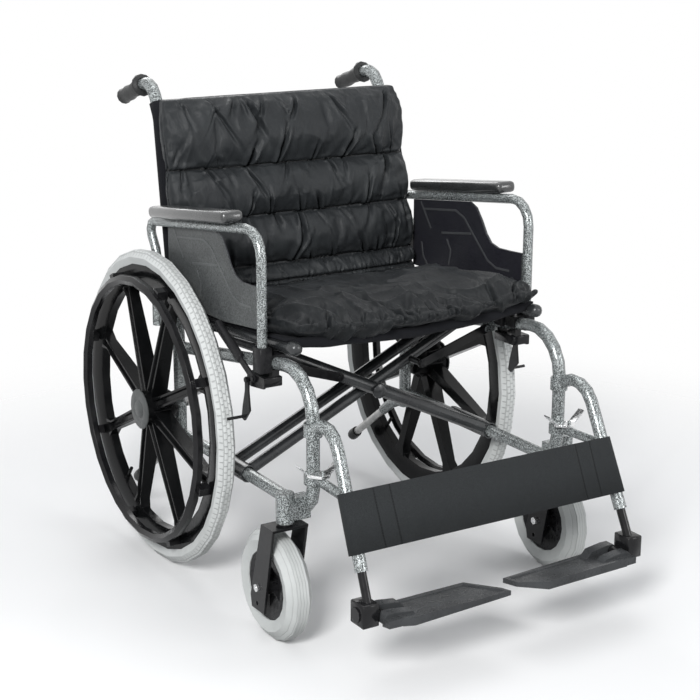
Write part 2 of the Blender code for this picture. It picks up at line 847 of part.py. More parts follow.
def caster_fork(sign):
    """Crown and two slanted arms, with the stem that turns in the housing."""
    x = sign * CASTER_X
    stem_y = CASTER_STEM_Y
    axle_y = stem_y + CASTER_TRAIL
    arm = [
        (stem_y - 0.019, FORK_CROWN_Z),
        (stem_y + 0.022, FORK_CROWN_Z),
        (axle_y + 0.028, FORK_FOOT_Z + 0.022),
        (axle_y + 0.024, FORK_FOOT_Z),
        (axle_y - 0.019, FORK_FOOT_Z),
    ]
    hole = circle((axle_y, CASTER_R), CASTER_AXLE_R + SEAT_GAP)
    spare = circle((axle_y + 0.004, CASTER_R - 0.031), CASTER_AXLE_R)
    inner = FORK_HALF - FORK_PLATE / 2
    body = plate(arm, FORK_PLATE, "X", x - inner, (hole, spare))
    other = plate(arm, FORK_PLATE, "X", x + inner, (hole, spare))
    crown = box(
        (x, stem_y + 0.0015, FORK_CROWN_Z - FORK_PLATE / 2),
        (FORK_HALF * 2, 0.041, FORK_PLATE),
    )
    washer = rod(
        (x, stem_y, FORK_CROWN_Z - 0.001),
        (x, stem_y, HOUSING_FOOT_Z - SEAT_GAP),
        HOUSING_R - 0.003,
    )
    stem = rod((x, stem_y, FORK_CROWN_Z - 0.006), (x, stem_y, HOUSING_TOP_Z - 0.006), STEM_R)
    return join(crown, body, other, washer, stem)


def caster_rim(sign):
    """Dished centre with a hub, a web and radial ribs."""
    half = CASTER_RIM_WIDTH / 2
    hub = CASTER_HUB_WIDTH / 2
    bore = CASTER_AXLE_R + RUNNING_GAP
    body = turned(
        [
            (CASTER_RIM_R, half),
            (CASTER_RIM_R, -half),
            (CASTER_RIM_R - 0.006, -half),
            (CASTER_HUB_R, -0.005),
            (CASTER_HUB_R - 0.002, -hub),
            (bore, -hub),
            (bore, hub),
            (CASTER_HUB_R - 0.002, hub),
            (CASTER_HUB_R, 0.005),
            (CASTER_RIM_R - 0.006, half),
        ],
        CASTER_STEPS,
        (0, 0, 0),
        (1, 0, 0),
    )
    for k in range(CASTER_RIBS):
        middle = (CASTER_RIM_R - 0.004 + 0.010) / 2
        rib = box((0, 0, middle), (CASTER_RIM_WIDTH * 0.72, 0.003, CASTER_RIM_R - 0.004 - 0.010))
        join(body, transformed(rib, Matrix.Rotation(2 * math.pi * k / CASTER_RIBS, 4, "X")))
    axle_y = CASTER_STEM_Y + CASTER_TRAIL
    return transformed(body, Matrix.Translation((sign * CASTER_X, axle_y, CASTER_R)))


def caster_tyre(sign):
    """Solid tyre with a rounded, slightly flattened tread."""
    half = CASTER_WIDTH / 2
    seat = CASTER_RIM_R + SEAT_GAP
    profile = [
        (CASTER_R, half * 0.42),
        (CASTER_R, -half * 0.42),
        (CASTER_R - 0.0180, -half),
        (seat, -half * 0.80),
        (seat, half * 0.80),
        (CASTER_R - 0.0180, half),
    ]
    body = turned(profile, CASTER_STEPS, (0, 0, 0), (1, 0, 0))
    axle_y = CASTER_STEM_Y + CASTER_TRAIL
    return transformed(body, Matrix.Translation((sign * CASTER_X, axle_y, CASTER_R)))


def caster_axle(sign):
    """Bolt and nut across the fork."""
    x = sign * CASTER_X
    y = CASTER_STEM_Y + CASTER_TRAIL
    out = FORK_HALF + SEAT_GAP
    bolt = rod((x - out - 0.006, y, CASTER_R), (x + out + 0.006, y, CASTER_R), CASTER_AXLE_R)
    heads = [
        rod((x + turn * out, y, CASTER_R), (x + turn * (out + 0.005), y, CASTER_R), 0.0075, 6)
        for turn in (-1, 1)
    ]
    return join(bolt, *heads)


def seat_saddle(sign):
    """Moulded cup, clipped on the upper tube, that the seat rail drops into."""
    y = -0.345
    foot = upper_z(y) - 0.004
    top = seat_rail_z(y)
    body = box(
        (sign * (FRAME_X + SEAT_RAIL_X) / 2, y, (foot + top) / 2),
        (0.034, 0.024, top - foot),
        bevel=0.002,
    )
    rail = rod(seat_rail_point(sign, y + 0.03), seat_rail_point(sign, y - 0.03), SEAT_RAIL_R + SEAT_GAP, 16)
    tube_r = FRAME_TUBE_R + SEAT_GAP
    frame_tube = rod(
        (sign * FRAME_X, y + 0.03, upper_z(y + 0.03)),
        (sign * FRAME_X, y - 0.03, upper_z(y - 0.03)),
        tube_r,
        16,
    )
    return cut(body, rail, frame_tube)


def front_socket(sign):
    """Moulded block on the upper tube that holds the armrest's front leg."""
    foot = ARM_FRONT_FOOT_Z - 0.003
    top = ARM_FRONT_FOOT_Z + 0.042
    y = ARM_FRONT_Y
    body = box((sign * ARM_X, y, (foot + top) / 2), (0.0244, 0.029, top - foot), bevel=0.002)
    saddle_top = upper_z(y) + FRAME_TUBE_R + 0.0045
    saddle = box(
        (sign * 0.2640, y, (upper_z(y) - 0.004 + saddle_top) / 2),
        (0.034, 0.025, saddle_top - upper_z(y) + 0.004),
    )
    join(body, saddle)
    leg = rod((sign * ARM_X, y, ARM_FRONT_FOOT_Z - SEAT_GAP), (sign * ARM_X, y, top + 0.01), 0.0101, 16)
    frame_tube = rod(
        (sign * FRAME_X, y + 0.03, upper_z(y + 0.03)),
        (sign * FRAME_X, y - 0.03, upper_z(y - 0.03)),
        FRAME_TUBE_R + SEAT_GAP,
        16,
    )
    return cut(body, leg, frame_tube)


def armrest_tube(sign):
    """Bent tube with a straight front leg and a stepped rear leg."""
    x = sign * ARM_X
    route = path(
        [
            (x, ARM_FRONT_Y, ARM_FRONT_FOOT_Z),
            (x, ARM_FRONT_Y, arm_z(ARM_FRONT_Y)),
            (x, ARM_REAR_Y, arm_z(ARM_REAR_Y)),
            (x, ARM_LEG_Y, ARM_LEG_BEND_Z),
            (x, ARM_LEG_Y, ARM_REAR_FOOT_Z),
        ],
        [ARM_BEND_R, 0.020, 0.030],
    )
    return tube(route, ARM_TUBE_R)


def arm_pad(sign):
    """Padded rest with rounded edges, lying along the armrest tube."""
    middle_y = (PAD_FRONT_Y + PAD_REAR_Y) / 2
    pitch = math.atan(ARM_RISE)
    lift = (ARM_TUBE_R + SEAT_GAP + PAD_THICK / 2) / math.cos(pitch)
    length = (PAD_REAR_Y - PAD_FRONT_Y) / math.cos(pitch)
    return box(
        (sign * PAD_X, middle_y, arm_z(middle_y) + lift),
        (PAD_WIDTH, length, PAD_THICK),
        Matrix.Rotation(-pitch, 3, "X"),
        0.0085,
        3,
    )


def ribbon(points, width):
    """A closed outline that runs along the points at an even width."""
    points = [Vector(point) for point in points]
    ways = [(b - a).normalized() for a, b in zip(points, points[1:])]
    left = []
    right = []
    for point, before, after in zip(points, ways[:1] + ways, ways + ways[-1:]):
        way = (before + after).normalized()
        reach = width / 2 / max(0.5, way.dot(after))
        side = Vector((-way.y, way.x)) * reach
        left.append(tuple(point + side))
        right.append(tuple(point - side))
    return left + right[::-1]


def side_panel(sign):
    """Moulded side guard with a dished front corner and raised beads."""
    under = ARM_TUBE_R * 0.88 + SEAT_GAP
    front = ARM_FRONT_Y + ARM_TUBE_R + SEAT_GAP
    rear = -0.004
    top_front = -0.200
    outline = [
        (rear, 0.520),
        (rear, arm_z(rear) - under),
        (top_front, arm_z(top_front) - under),
        (-0.220, 0.673),
        (-0.239, 0.650),
        (-0.254, 0.627),
        (-0.270, 0.612),
        (-0.294, 0.606),
        (-0.330, 0.607),
        (front, 0.609),
        (front, 0.535),
        (-0.225, 0.520),
    ]
    beads = (
        ((-0.044, 0.643), (-0.153, 0.657), (-0.182, 0.647), (-0.262, 0.576), (-0.290, 0.566), (-0.332, 0.568)),
        ((-0.106, 0.604), (-0.206, 0.619)),
        ((-0.030, 0.656), (-0.068, 0.606)),
        ((-0.124, 0.594), (-0.138, 0.574), (-0.133, 0.542)),
        ((-0.035, 0.573), (-0.041, 0.545), (-0.058, 0.528)),
    )
    x = sign * PANEL_X
    body = plate(outline, PANEL_THICK, "X", x)
    return join(body, *(plate(ribbon(bead, 0.0045), PANEL_THICK + PANEL_BEAD * 2, "X", x) for bead in beads))


def brake_bracket(sign):
    """Clamp block under the upper tube with a side plate that carries lever and shoe."""
    plate_x = BRAKE_LEVER_X - BRAKE_LEVER_THICK / 2 - RUNNING_GAP - 0.0015
    rear = -0.324
    front = -0.386
    top = upper_z(rear) - FRAME_TUBE_R - 0.0030
    block = box(
        (sign * (0.2514 + plate_x) / 2, (front + rear) / 2, (0.436 + top) / 2),
        (plate_x - 0.2514, rear - front, top - 0.436),
        bevel=0.0015,
    )
    cheek = plate(
        rounded([(front, top), (front, 0.434), (rear - 0.012, 0.428), (rear, 0.434), (rear, top)], 0.003),
        0.003,
        "X",
        sign * plate_x,
    )
    pads = []
    for y in (front + 0.009, rear - 0.009):
        pad_top = upper_z(y) - FRAME_TUBE_R * 0.6
        pads.append(box((sign * FRAME_X, y, (top - 0.004 + pad_top) / 2), (0.014, 0.012, pad_top - top + 0.004)))
    body = join(block, cheek, *pads)
    frame_tube = rod(
        (sign * FRAME_X, -0.30, upper_z(-0.30)),
        (sign * FRAME_X, -0.41, upper_z(-0.41)),
        FRAME_TUBE_R + SEAT_GAP,
        16,
    )
    cut(body, frame_tube)
    pivots = (
        (BRAKE_LEVER_X, BRAKE_PIVOT_Y, BRAKE_PIVOT_Z),
        (SHOE_X, SHOE_PIVOT_Y, SHOE_PIVOT_Z),
    )
    for arm_x, y, z in pivots:
        head_x = arm_x + BRAKE_LEVER_THICK / 2 + RUNNING_GAP
        pin = rod((sign * plate_x, y, z), (sign * (head_x + 0.001), y, z), 0.0030, 10)
        head = rod((sign * head_x, y, z), (sign * (head_x + 0.0020), y, z), 0.0050, 10)
        join(body, pin, head)
    return body


def brake_lever(sign):
    """Flat lever with a ribbed grip at its upper end."""
    x = sign * BRAKE_LEVER_X
    along = Vector((math.cos(BRAKE_GRIP_ANGLE), math.sin(BRAKE_GRIP_ANGLE)))
    across = Vector((-along.y, along.x))
    pivot = Vector((BRAKE_PIVOT_Y, BRAKE_PIVOT_Z))
    arm_end = pivot + along * (BRAKE_GRIP_START + 0.010)
    outline = [
        arm_end + across * 0.006,
        arm_end - across * 0.006,
        pivot + along * 0.004 - across * 0.007,
        pivot - along * 0.006 - across * 0.004,
        pivot - along * 0.006 + across * 0.004,
        pivot + along * 0.004 + across * 0.007,
    ]
    hole = circle(pivot, 0.0030 + SEAT_GAP, 10)
    body = plate([tuple(point) for point in outline], BRAKE_LEVER_THICK, "X", x, (hole,))
    grip_x = sign * (BRAKE_LEVER_X - 0.0010)
    middle = pivot + along * (BRAKE_GRIP_START + BRAKE_GRIP_LENGTH / 2)
    grip = box(
        (grip_x, middle.x, middle.y),
        (0.0115, BRAKE_GRIP_LENGTH, 0.0190),
        Matrix.Rotation(BRAKE_GRIP_ANGLE, 3, "X"),
        0.0040,
        2,
    )
    return join(grip, body)


def brake_shoe(sign):
    """Strap that hangs from the bracket, with the rod that presses the tyre."""
    x = sign * SHOE_X
    pivot = (SHOE_PIVOT_Y, SHOE_PIVOT_Z)
    foot = (SHOE_ROD_Y, SHOE_ROD_Z)
    outline = rounded(
        [
            (pivot[0] - 0.006, pivot[1] + 0.005),
            (pivot[0] - 0.006, pivot[1] - 0.022),
            (foot[0] - 0.024, foot[1] + 0.016),
            (foot[0] - 0.004, foot[1] - 0.007),
            (foot[0] + 0.006, foot[1] - 0.004),
            (foot[0] + 0.002, foot[1] + 0.018),
            (pivot[0] + 0.006, pivot[1] - 0.020),
            (pivot[0] + 0.006, pivot[1] + 0.005),
        ],
        0.002,
    )
    hole = circle(pivot, 0.0030 + SEAT_GAP, 10)
    body = plate(outline, BRAKE_LEVER_THICK, "X", x, (hole,))
    reach = 0.3280
    rod_piece = rod((x - sign * 0.0017, *foot), (sign * reach, *foot), SHOE_ROD_R, 8)
    return join(body, rod_piece)


def cross_brace(sign):
    """The pair of legs that starts at this side's lower rail, and the opposite seat rail.

    The left side's legs are the wider, outer pair. A sleeve turns on the lower rail.
    """
    outer = sign > 0
    ys = WIDE_LEG_YS if outer else NARROW_LEG_YS
    radius = WIDE_LEG_R if outer else NARROW_LEG_R
    foot_x = sign * FRAME_X
    seat_x = -sign * SEAT_RAIL_X
    body = rod(
        (foot_x, ys[0] - radius, LOWER_RAIL_Z),
        (foot_x, ys[1] + radius, LOWER_RAIL_Z),
        SLEEVE_R,
        12,
    )
    rail = rod(
        seat_rail_point(-sign, SEAT_RAIL_REAR_Y),
        seat_rail_point(-sign, SEAT_RAIL_FRONT_Y),
        SEAT_RAIL_R,
        12,
    )
    for y in ys:
        foot = Vector((foot_x, y, LOWER_RAIL_Z))
        seat = seat_rail_point(-sign, y) - Vector((0, 0, LEG_DROP))
        along = (seat - foot).normalized()
        start = foot + along * (SLEEVE_BORE_R + 0.001)
        end = seat - along * 0.004
        join(body, tube([start, end], radius, 3))
    stud_x = -sign * LINK_END_X
    stud_y = LINK_Y + LINK_THICK / 2 + RUNNING_GAP
    stud = rod((stud_x, stud_y, LINK_END_Z), (stud_x, ys[0], LINK_END_Z), 0.0060)
    join(body, rail, stud)
    slope = Vector((0, -1, SEAT_RAIL_RISE)).normalized()
    cap_profile = [
        (0, SEAT_CAP_LENGTH),
        (SEAT_CAP_R * 0.55, SEAT_CAP_LENGTH - 0.0015),
        (SEAT_CAP_R * 0.90, SEAT_CAP_LENGTH - 0.0055),
        (SEAT_CAP_R, 0.010),
        (SEAT_CAP_R, 0),
        (0, 0),
    ]
    cap = turned(cap_profile, 12, seat_rail_point(-sign, SEAT_RAIL_FRONT_Y + 0.006), slope, closed=False)
    join(body, cap)
    cut(
        body,
        rod(
            (foot_x, ys[0] - 0.05, LOWER_RAIL_Z),
            (foot_x, ys[1] + 0.05, LOWER_RAIL_Z),
            SLEEVE_BORE_R,
            16,
        ),
        rod((0, ys[0] - 0.03, CROSS_Z), (0, ys[1] + 0.03, CROSS_Z), PIVOT_BOLT_R + RUNNING_GAP, 12),
    )
    return body


def pivot_bolt():
    """Bolt through all four legs where they cross, with a domed head and a nut."""
    front = WIDE_LEG_YS[0] - WIDE_LEG_R - RUNNING_GAP
    rear = WIDE_LEG_YS[1] + WIDE_LEG_R + RUNNING_GAP
    shank = rod((0, front - 0.002, CROSS_Z), (0, rear + 0.007, CROSS_Z), PIVOT_BOLT_R, 12)
    head = turned(
        [(0, 0.007), (0.006, 0.0068), (PIVOT_HEAD_R, 0.0040), (PIVOT_HEAD_R, 0), (0, 0)],
        12,
        (0, front, CROSS_Z),
        (0, -1, 0),
        closed=False,
    )
    nut = rod((0, rear, CROSS_Z), (0, rear + 0.006, CROSS_Z), 0.0095, 6)
    return join(head, shank, nut)


def link_arm(sign):
    """Flat bar from the side frame's lug to the leg it steadies, riveted at its inner end."""
    pin_x = FRAME_X - LINK_PIVOT_IN
    start = Vector((pin_x, LINK_PIVOT_Z))
    end = Vector((LINK_END_X, LINK_END_Z))
    along = (end - start).normalized()
    across = Vector((-along.y, along.x))
    half = LINK_WIDTH / 2
    outline = []
    for centre, facing in ((end, along), (start, -along)):
        for step in range(7):
            turn = math.radians(-90 + 30 * step)
            side_on = across if centre is end else -across
            outline.append(centre + (facing * math.cos(turn) + side_on * math.sin(turn)) * half)
    hole = circle(start, LINK_PIN_R + RUNNING_GAP, 10)
    body = plate([tuple(point) for point in outline], LINK_THICK, "Y", LINK_Y, (hole,))
    rivet = rod((end.x, LINK_Y, end.y), (end.x, LINK_Y - LINK_THICK / 2 - 0.0025, end.y), 0.0060)
    join(body, rivet)
    if sign < 0:
        transformed(body, Matrix.Scale(-1, 4, (1, 0, 0)))
    return body


def sling_drop(x):
    """How far the seat fabric hangs below the rails' tops at x."""
    return SLING_SAG * (1 - min(1.0, abs(x) / SLING_FREE) ** 2)


def seat_sling():
    """Seat fabric, laid over both rails and sagging between them."""
    columns = 12
    edge = SEAT_RAIL_X + SEAT_RAIL_R * 0.7
    across = [-edge, *(SLING_FREE * (2 * k / columns - 1) for k in range(columns + 1)), edge]
    rest = SEAT_RAIL_R + SEAT_GAP
    foot = [(x, rest - sling_drop(x)) for x in across]
    top = [(x, z + SLING_THICK) for x, z in foot]
    body = plate(foot + top[::-1], SLING_REAR_Y - SLING_FRONT_Y, "Y", 0)
    pitch = math.atan(SEAT_RAIL_RISE)
    middle = (SLING_REAR_Y + SLING_FRONT_Y) / 2
    place = Matrix.Translation((0, middle, seat_rail_z(middle)))
    return transformed(body, place @ Matrix.Rotation(-pitch, 4, "X"))


def pillow(columns, rows, place, thickness):
    """A closed cushion: a grid of cells whose top and foot meet around the edge.

    place(u, v) gives a point on the foot, for u and v from -1 to 1, and thickness(u, v) lifts
    the top from it.
    """
    shape = bmesh.new()
    layers = []
    for layer in (0, 1):
        grid = []
        for i in range(columns + 1):
            line = []
            for j in range(rows + 1):
                u = -1 + 2 * i / columns
                v = -1 + 2 * j / rows
                line.append(shape.verts.new(place(u, v) + thickness(u, v) * layer))
            grid.append(line)
        layers.append(grid)
    foot, top = layers
    for i in range(columns):
        for j in range(rows):
            shape.faces.new((top[i][j], top[i + 1][j], top[i + 1][j + 1], top[i][j + 1]))
            shape.faces.new((foot[i][j], foot[i][j + 1], foot[i + 1][j + 1], foot[i + 1][j]))
    ring = [(i, 0) for i in range(columns)] + [(columns, j) for j in range(rows)]
    ring += [(i, rows) for i in range(columns, 0, -1)] + [(0, j) for j in range(rows, 0, -1)]
    for (i, j), (k, m) in zip(ring, ring[1:] + ring[:1]):
        shape.faces.new((foot[i][j], foot[k][m], top[k][m], top[i][j]))
    mesh = bpy.data.meshes.new("pillow")
    shape.to_mesh(mesh)
    shape.free()
    thing = object_of(mesh)
    return outward(thing)


def edge_fall(u, power):
    """One in the middle and nought at the edges, round in between."""
    return max(0.0, 1 - abs(u) ** power) ** 0.5


def seat_cushion():
    """Filled cushion with a crown, drawn-in sides and shallow sewn tufts."""
    middle_y = (CUSHION_FRONT_Y + CUSHION_REAR_Y) / 2
    half_y = (CUSHION_REAR_Y - CUSHION_FRONT_Y) / 2

    def place(u, v):
        corner = 1 - 0.025 * (u * v) ** 2
        x = CUSHION_HALF * u * corner
        y = middle_y + half_y * v * corner
        sling_top = seat_rail_z(y) + SEAT_RAIL_R + SLING_THICK + SEAT_GAP * 3 - sling_drop(x)
        swell = 0.5 * CUSHION_EDGE * (1 - edge_fall(u, 6) * edge_fall(v, 6))
        return Vector((x, y, sling_top + swell))

    def thickness(u, v):
        crown = edge_fall(u, 4) * edge_fall(v, 4)
        tuft = 0.007 * math.cos(2 * math.pi * u) * math.cos(1.5 * math.pi * v) * crown
        return Vector((0, 0, CUSHION_EDGE * 0.6 + (CUSHION_CROWN - CUSHION_EDGE * 0.6) * crown - tuft))

    return pillow(12, 9, place, thickness)


def back_line(z):
    """y of the back post's axis at height z, kept upright below the knee."""
    return post_at(max(z, POST_LEAN_Z))[1]


def sleeve_route(sign, low, high):
    """Axis of the back post from height low to height high."""
    x_low, y_low = post_at(low)
    x_high, y_high = knee_at(high)
    knee = (sign * HANDLE_X, HANDLE_KNEE_Y, HANDLE_KNEE_Z)
    return path([(sign * x_low, y_low, low), knee, (sign * x_high, y_high, high)], [HANDLE_KNEE_R])


def back_sling():
    """Back fabric: a sheet between the posts, with a sleeve round each post."""
    low, high = BACK_SLING_LOW_Z, BACK_SLING_TOP_Z
    half = BACK_SLING_SHEET / 2
    levels = ((low, post_at(low)[1]), (HANDLE_KNEE_Z, HANDLE_KNEE_Y), (high, knee_at(high)[1]))
    outline = [(y - half, z) for z, y in levels] + [(y + half, z) for z, y in levels[::-1]]
    body = plate(outline, 2, "X", 0)
    for vertex in body.data.vertices:
        post_x = post_at(min(vertex.co.z, HANDLE_KNEE_Z))[0]
        vertex.co.x = math.copysign(post_x - BACK_SLING_BORE_R, vertex.co.x)
    for sign in (-1, 1):
        join(body, tube(sleeve_route(sign, low, high), BACK_SLING_R))
        cut(body, tube(sleeve_route(sign, low - 0.01, high + 0.01), BACK_SLING_BORE_R))
    return body


def back_cushion():
    """Filled back rest with four sewn channels, hung in front of the back fabric."""
    low, high = BACK_LOW_Z, BACK_TOP_Z
    edges = (low, *BACK_SEAMS_Z, high)
    front_gap = BACK_SLING_R + SEAT_GAP

    def place(u, v):
        z = (low + high) / 2 + (high - low) / 2 * v
        x = BACK_HALF * u * (1 - 0.015 * abs(v) ** 4)
        return Vector((x, back_line(z) - front_gap, z))

    def channel(z):
        for foot, top in zip(edges, edges[1:]):
            if z <= top + 1e-9:
                share = (z - foot) / (top - foot)
                return math.sqrt(max(0.0, 1 - (2 * share - 1) ** 2))
        return 0.0

    def thickness(u, v):
        z = (low + high) / 2 + (high - low) / 2 * v
        fill = channel(z) * (0.36 + 0.64 * edge_fall(u, 5))
        return Vector((0, -(BACK_SEAM_THICK + (BACK_THICK - BACK_SEAM_THICK) * fill), 0))

    return pillow(6, 20, place, thickness)


def hanger(sign):
    """Swing-away tube: knuckles on the front post, gooseneck, straight run and lower link."""
    post = (sign * FRAME_X, FRONT_POST_Y)
    foot_x, foot_y = hanger_at(HANGER_END_Z)
    route = path(
        [
            (post[0], post[1] - 0.0150, HANGER_START_Z),
            (sign * HANGER_TOP_X, HANGER_BEND_Y, HANGER_BEND_Z),
            (sign * foot_x, foot_y, HANGER_END_Z),
        ],
        [HANGER_BEND_R],
    )
    body = tube(route, HANGER_TUBE_R)
    link_x, link_y = hanger_at(LINK_TUBE_Z)
    link = rod((post[0], post[1] - 0.0145, LINK_TUBE_Z), (sign * link_x, link_y, LINK_TUBE_Z), LINK_TUBE_R, 8)
    upper = rod((*post, HANGER_START_Z - 0.0130), (*post, HANGER_START_Z + 0.0040), KNUCKLE_R, 12)
    lower = rod((*post, LINK_TUBE_Z - 0.0120), (*post, LINK_TUBE_Z + 0.0080), KNUCKLE_R, 12)
    latch_pin = rod(
        (post[0], FRONT_POST_Y - 0.0330, LINK_TUBE_Z),
        (post[0], FRONT_POST_Y - 0.0330, LINK_TUBE_Z + LINK_TUBE_R + 0.0120),
        0.0030,
        8,
    )
    join(body, link, upper, lower, latch_pin)
    post_bore = rod((*post, LINK_TUBE_Z - 0.03), (*post, HANGER_START_Z + 0.03), KNUCKLE_BORE_R, 12)
    mouth = Vector((sign * foot_x, foot_y, HANGER_END_Z))
    top = Vector((sign * hanger_at(0.300)[0], hanger_at(0.300)[1], 0.300))
    along = (mouth - top).normalized()
    return cut(body, post_bore, rod(top, mouth + along * 0.02, HANGER_BORE_R, 12))


def hanger_latch(sign):
    """Release lever on the lower link: a nose toward the post and two thumb wings."""
    x = sign * FRAME_X
    pivot_y = FRONT_POST_Y - 0.0330
    foot = LINK_TUBE_Z + LINK_TUBE_R + SEAT_GAP * 2
    thick = 0.0050
    nose = FRONT_POST_Y - FRAME_TUBE_R - 0.0018
    body = plate(
        rounded(
            [
                (x - 0.022, nose - 0.001),
                (x - 0.022, nose - 0.009),
                (x - 0.008, pivot_y - 0.008),
                (x + 0.008, pivot_y - 0.008),
                (x + 0.022, nose - 0.009),
                (x + 0.022, nose - 0.001),
            ],
            0.002,
        ),
        thick,
        "Z",
        foot + thick / 2,
        (circle((x, pivot_y), 0.0030 + SEAT_GAP, 8),),
    )
    for turn in (-1, 1):
        lean = math.radians(42)
        reach = 0.030
        centre = (
            x + turn * (0.019 + math.cos(lean) * reach / 2),
            nose - 0.005,
            foot + thick / 2 + math.sin(lean) * reach / 2,
        )
        wing = box(centre, (reach, 0.016, 0.0022), Matrix.Rotation(-turn * lean, 3, "Y"))
        join(body, wing)
    return body


def footrest_tube(sign):
    """Telescoping tube, and the block with the tongue that the footplate hinges on."""
    top_z = 0.288
    top_x, top_y = hanger_at(top_z)
    foot = Vector((sign * hanger_at(HANGER_FOOT_Z)[0], hanger_at(HANGER_FOOT_Z)[1], HANGER_FOOT_Z))
    body = rod((sign * top_x, top_y, top_z), foot, FOOT_TUBE_R, 8)
    block_x = HANGER_FOOT_X + BLOCK_OUT
    block = box((sign * block_x, BLOCK_Y, BLOCK_Z), BLOCK_SIZE, bevel=0.002)
    tongue = box(
        (sign * (PLATE_HINGE_X + 0.0085), BLOCK_Y, PLATE_HINGE_Z),
        (0.017, 0.0200, 0.0168),
    )
    knuckle = rod(
        (sign * PLATE_HINGE_X, BLOCK_Y - 0.010, PLATE_HINGE_Z),
        (sign * PLATE_HINGE_X, BLOCK_Y + 0.010, PLATE_HINGE_Z),
        0.0085,
        12,
    )
    bolt_x = block_x + BLOCK_SIZE[0] / 2
    bolt = rod((sign * (bolt_x - 0.002), BLOCK_Y, BLOCK_Z), (sign * (bolt_x + 0.003), BLOCK_Y, BLOCK_Z), 0.0130, 12)
    join(body, block, tongue, knuckle, bolt)
    pin_bore = rod(
        (sign * PLATE_HINGE_X, BLOCK_Y - 0.05, PLATE_HINGE_Z),
        (sign * PLATE_HINGE_X, BLOCK_Y + 0.05, PLATE_HINGE_Z),
        PLATE_PIN_R + RUNNING_GAP,
        12,
    )
    return cut(body, pin_bore)


def inset(outline, depth):
    """A convex outline, drawn in by depth on every side."""
    count = len(outline)
    middle = sum((Vector(point) for point in outline), Vector((0, 0))) / count
    lines = []
    for k in range(count):
        start = Vector(outline[k])
        along = (Vector(outline[(k + 1) % count]) - start).normalized()
        inward = Vector((-along.y, along.x))
        if inward.dot(middle - start) < 0:
            inward = -inward
        lines.append((start + inward * depth, along))
    points = []
    for (a, along_a), (b, along_b) in zip(lines[-1:] + lines[:-1], lines):
        share = (b - a).cross(along_b) / along_a.cross(along_b)
        points.append(tuple(a + along_a * share))
    return points


def footplate(sign):
    """Foot board with a raised border and a boss whose two cheeks straddle the tongue."""
    tip = PLATE_TIP_X
    front = PLATE_FRONT_Y
    outlines = {
        1: [
            (tip, BLOCK_Y + 0.020),
            (tip, BLOCK_Y - 0.018),
            (0.056, front),
            (0.238, BLOCK_Y - 0.047),
            (0.238, BLOCK_Y + 0.042),
        ],
        -1: [
            (-0.234, BLOCK_Y + 0.050),
            (-0.234, BLOCK_Y - 0.046),
            (-0.217, front),
            (-0.022, BLOCK_Y - 0.052),
            (-0.022, BLOCK_Y - 0.026),
            (-0.046, BLOCK_Y + 0.052),
        ],
    }
    outline = outlines[sign]
    body = plate(outline, PLATE_THICK, "Z", 0)
    lobe = [
        (sign * 0.228, BLOCK_Y - 0.0470),
        (sign * 0.2600, BLOCK_Y - 0.0450),
        (sign * 0.2600, BLOCK_Y - 0.0235),
        (sign * 0.228, BLOCK_Y - 0.0235),
    ]
    join(body, plate(lobe, PLATE_THICK - 0.002, "Z", 0))
    foot = inset(outline, PLATE_BORDER)
    brim = inset(outline, PLATE_BORDER - 0.007)
    tray = plate(foot, 0.010, "Z", PLATE_THICK / 2 + 0.005 - PLATE_TRAY)
    for vertex in tray.data.vertices:
        if vertex.co.z > PLATE_THICK / 2:
            near = min(range(len(foot)), key=lambda k: (Vector(foot[k]) - vertex.co.xy).length)
            vertex.co.xy = brim[near]
    cut(body, tray)
    shear = Matrix.Identity(4)
    shear[2][1] = -PLATE_TILT
    transformed(body, Matrix.Translation((0, 0, PLATE_MID_Z + PLATE_TILT * PLATE_MID_Y)) @ shear)

    # The underside rises toward the inner tip, so that the tips clear each other in the fold.
    for vertex in body.data.vertices:
        level = PLATE_MID_Z - PLATE_TILT * (vertex.co.y - PLATE_MID_Y)
        if vertex.co.z < level and abs(vertex.co.x) < 0.030:
            vertex.co.z = level - 0.0010

    # Cheeks in front of and behind the tongue, on a base that stays clear of it.
    rib_z = PLATE_HINGE_Z
    for centre_y, depth in ((BLOCK_Y - 0.0200, 0.0190), (BLOCK_Y + 0.0200, 0.0190)):
        cheek = plate(
            [
                (sign * 0.190, rib_z - 0.010),
                (sign * 0.205, rib_z + 0.006),
                (sign * (PLATE_HINGE_X - 0.012), rib_z + 0.0105),
                (sign * (PLATE_HINGE_X + 0.004), rib_z + 0.0105),
                (sign * (PLATE_HINGE_X + 0.0105), rib_z + 0.004),
                (sign * (PLATE_HINGE_X + 0.0105), rib_z - 0.006),
                (sign * (PLATE_HINGE_X + 0.004), rib_z - 0.0115),
            ],
            depth,
            "Y",
            centre_y,
        )
        join(body, cheek)
    pin = rod(
        (sign * PLATE_HINGE_X, BLOCK_Y - 0.028, PLATE_HINGE_Z),
        (sign * PLATE_HINGE_X, BLOCK_Y + 0.028, PLATE_HINGE_Z),
        PLATE_PIN_R,
        10,
    )
    return join(body, pin)


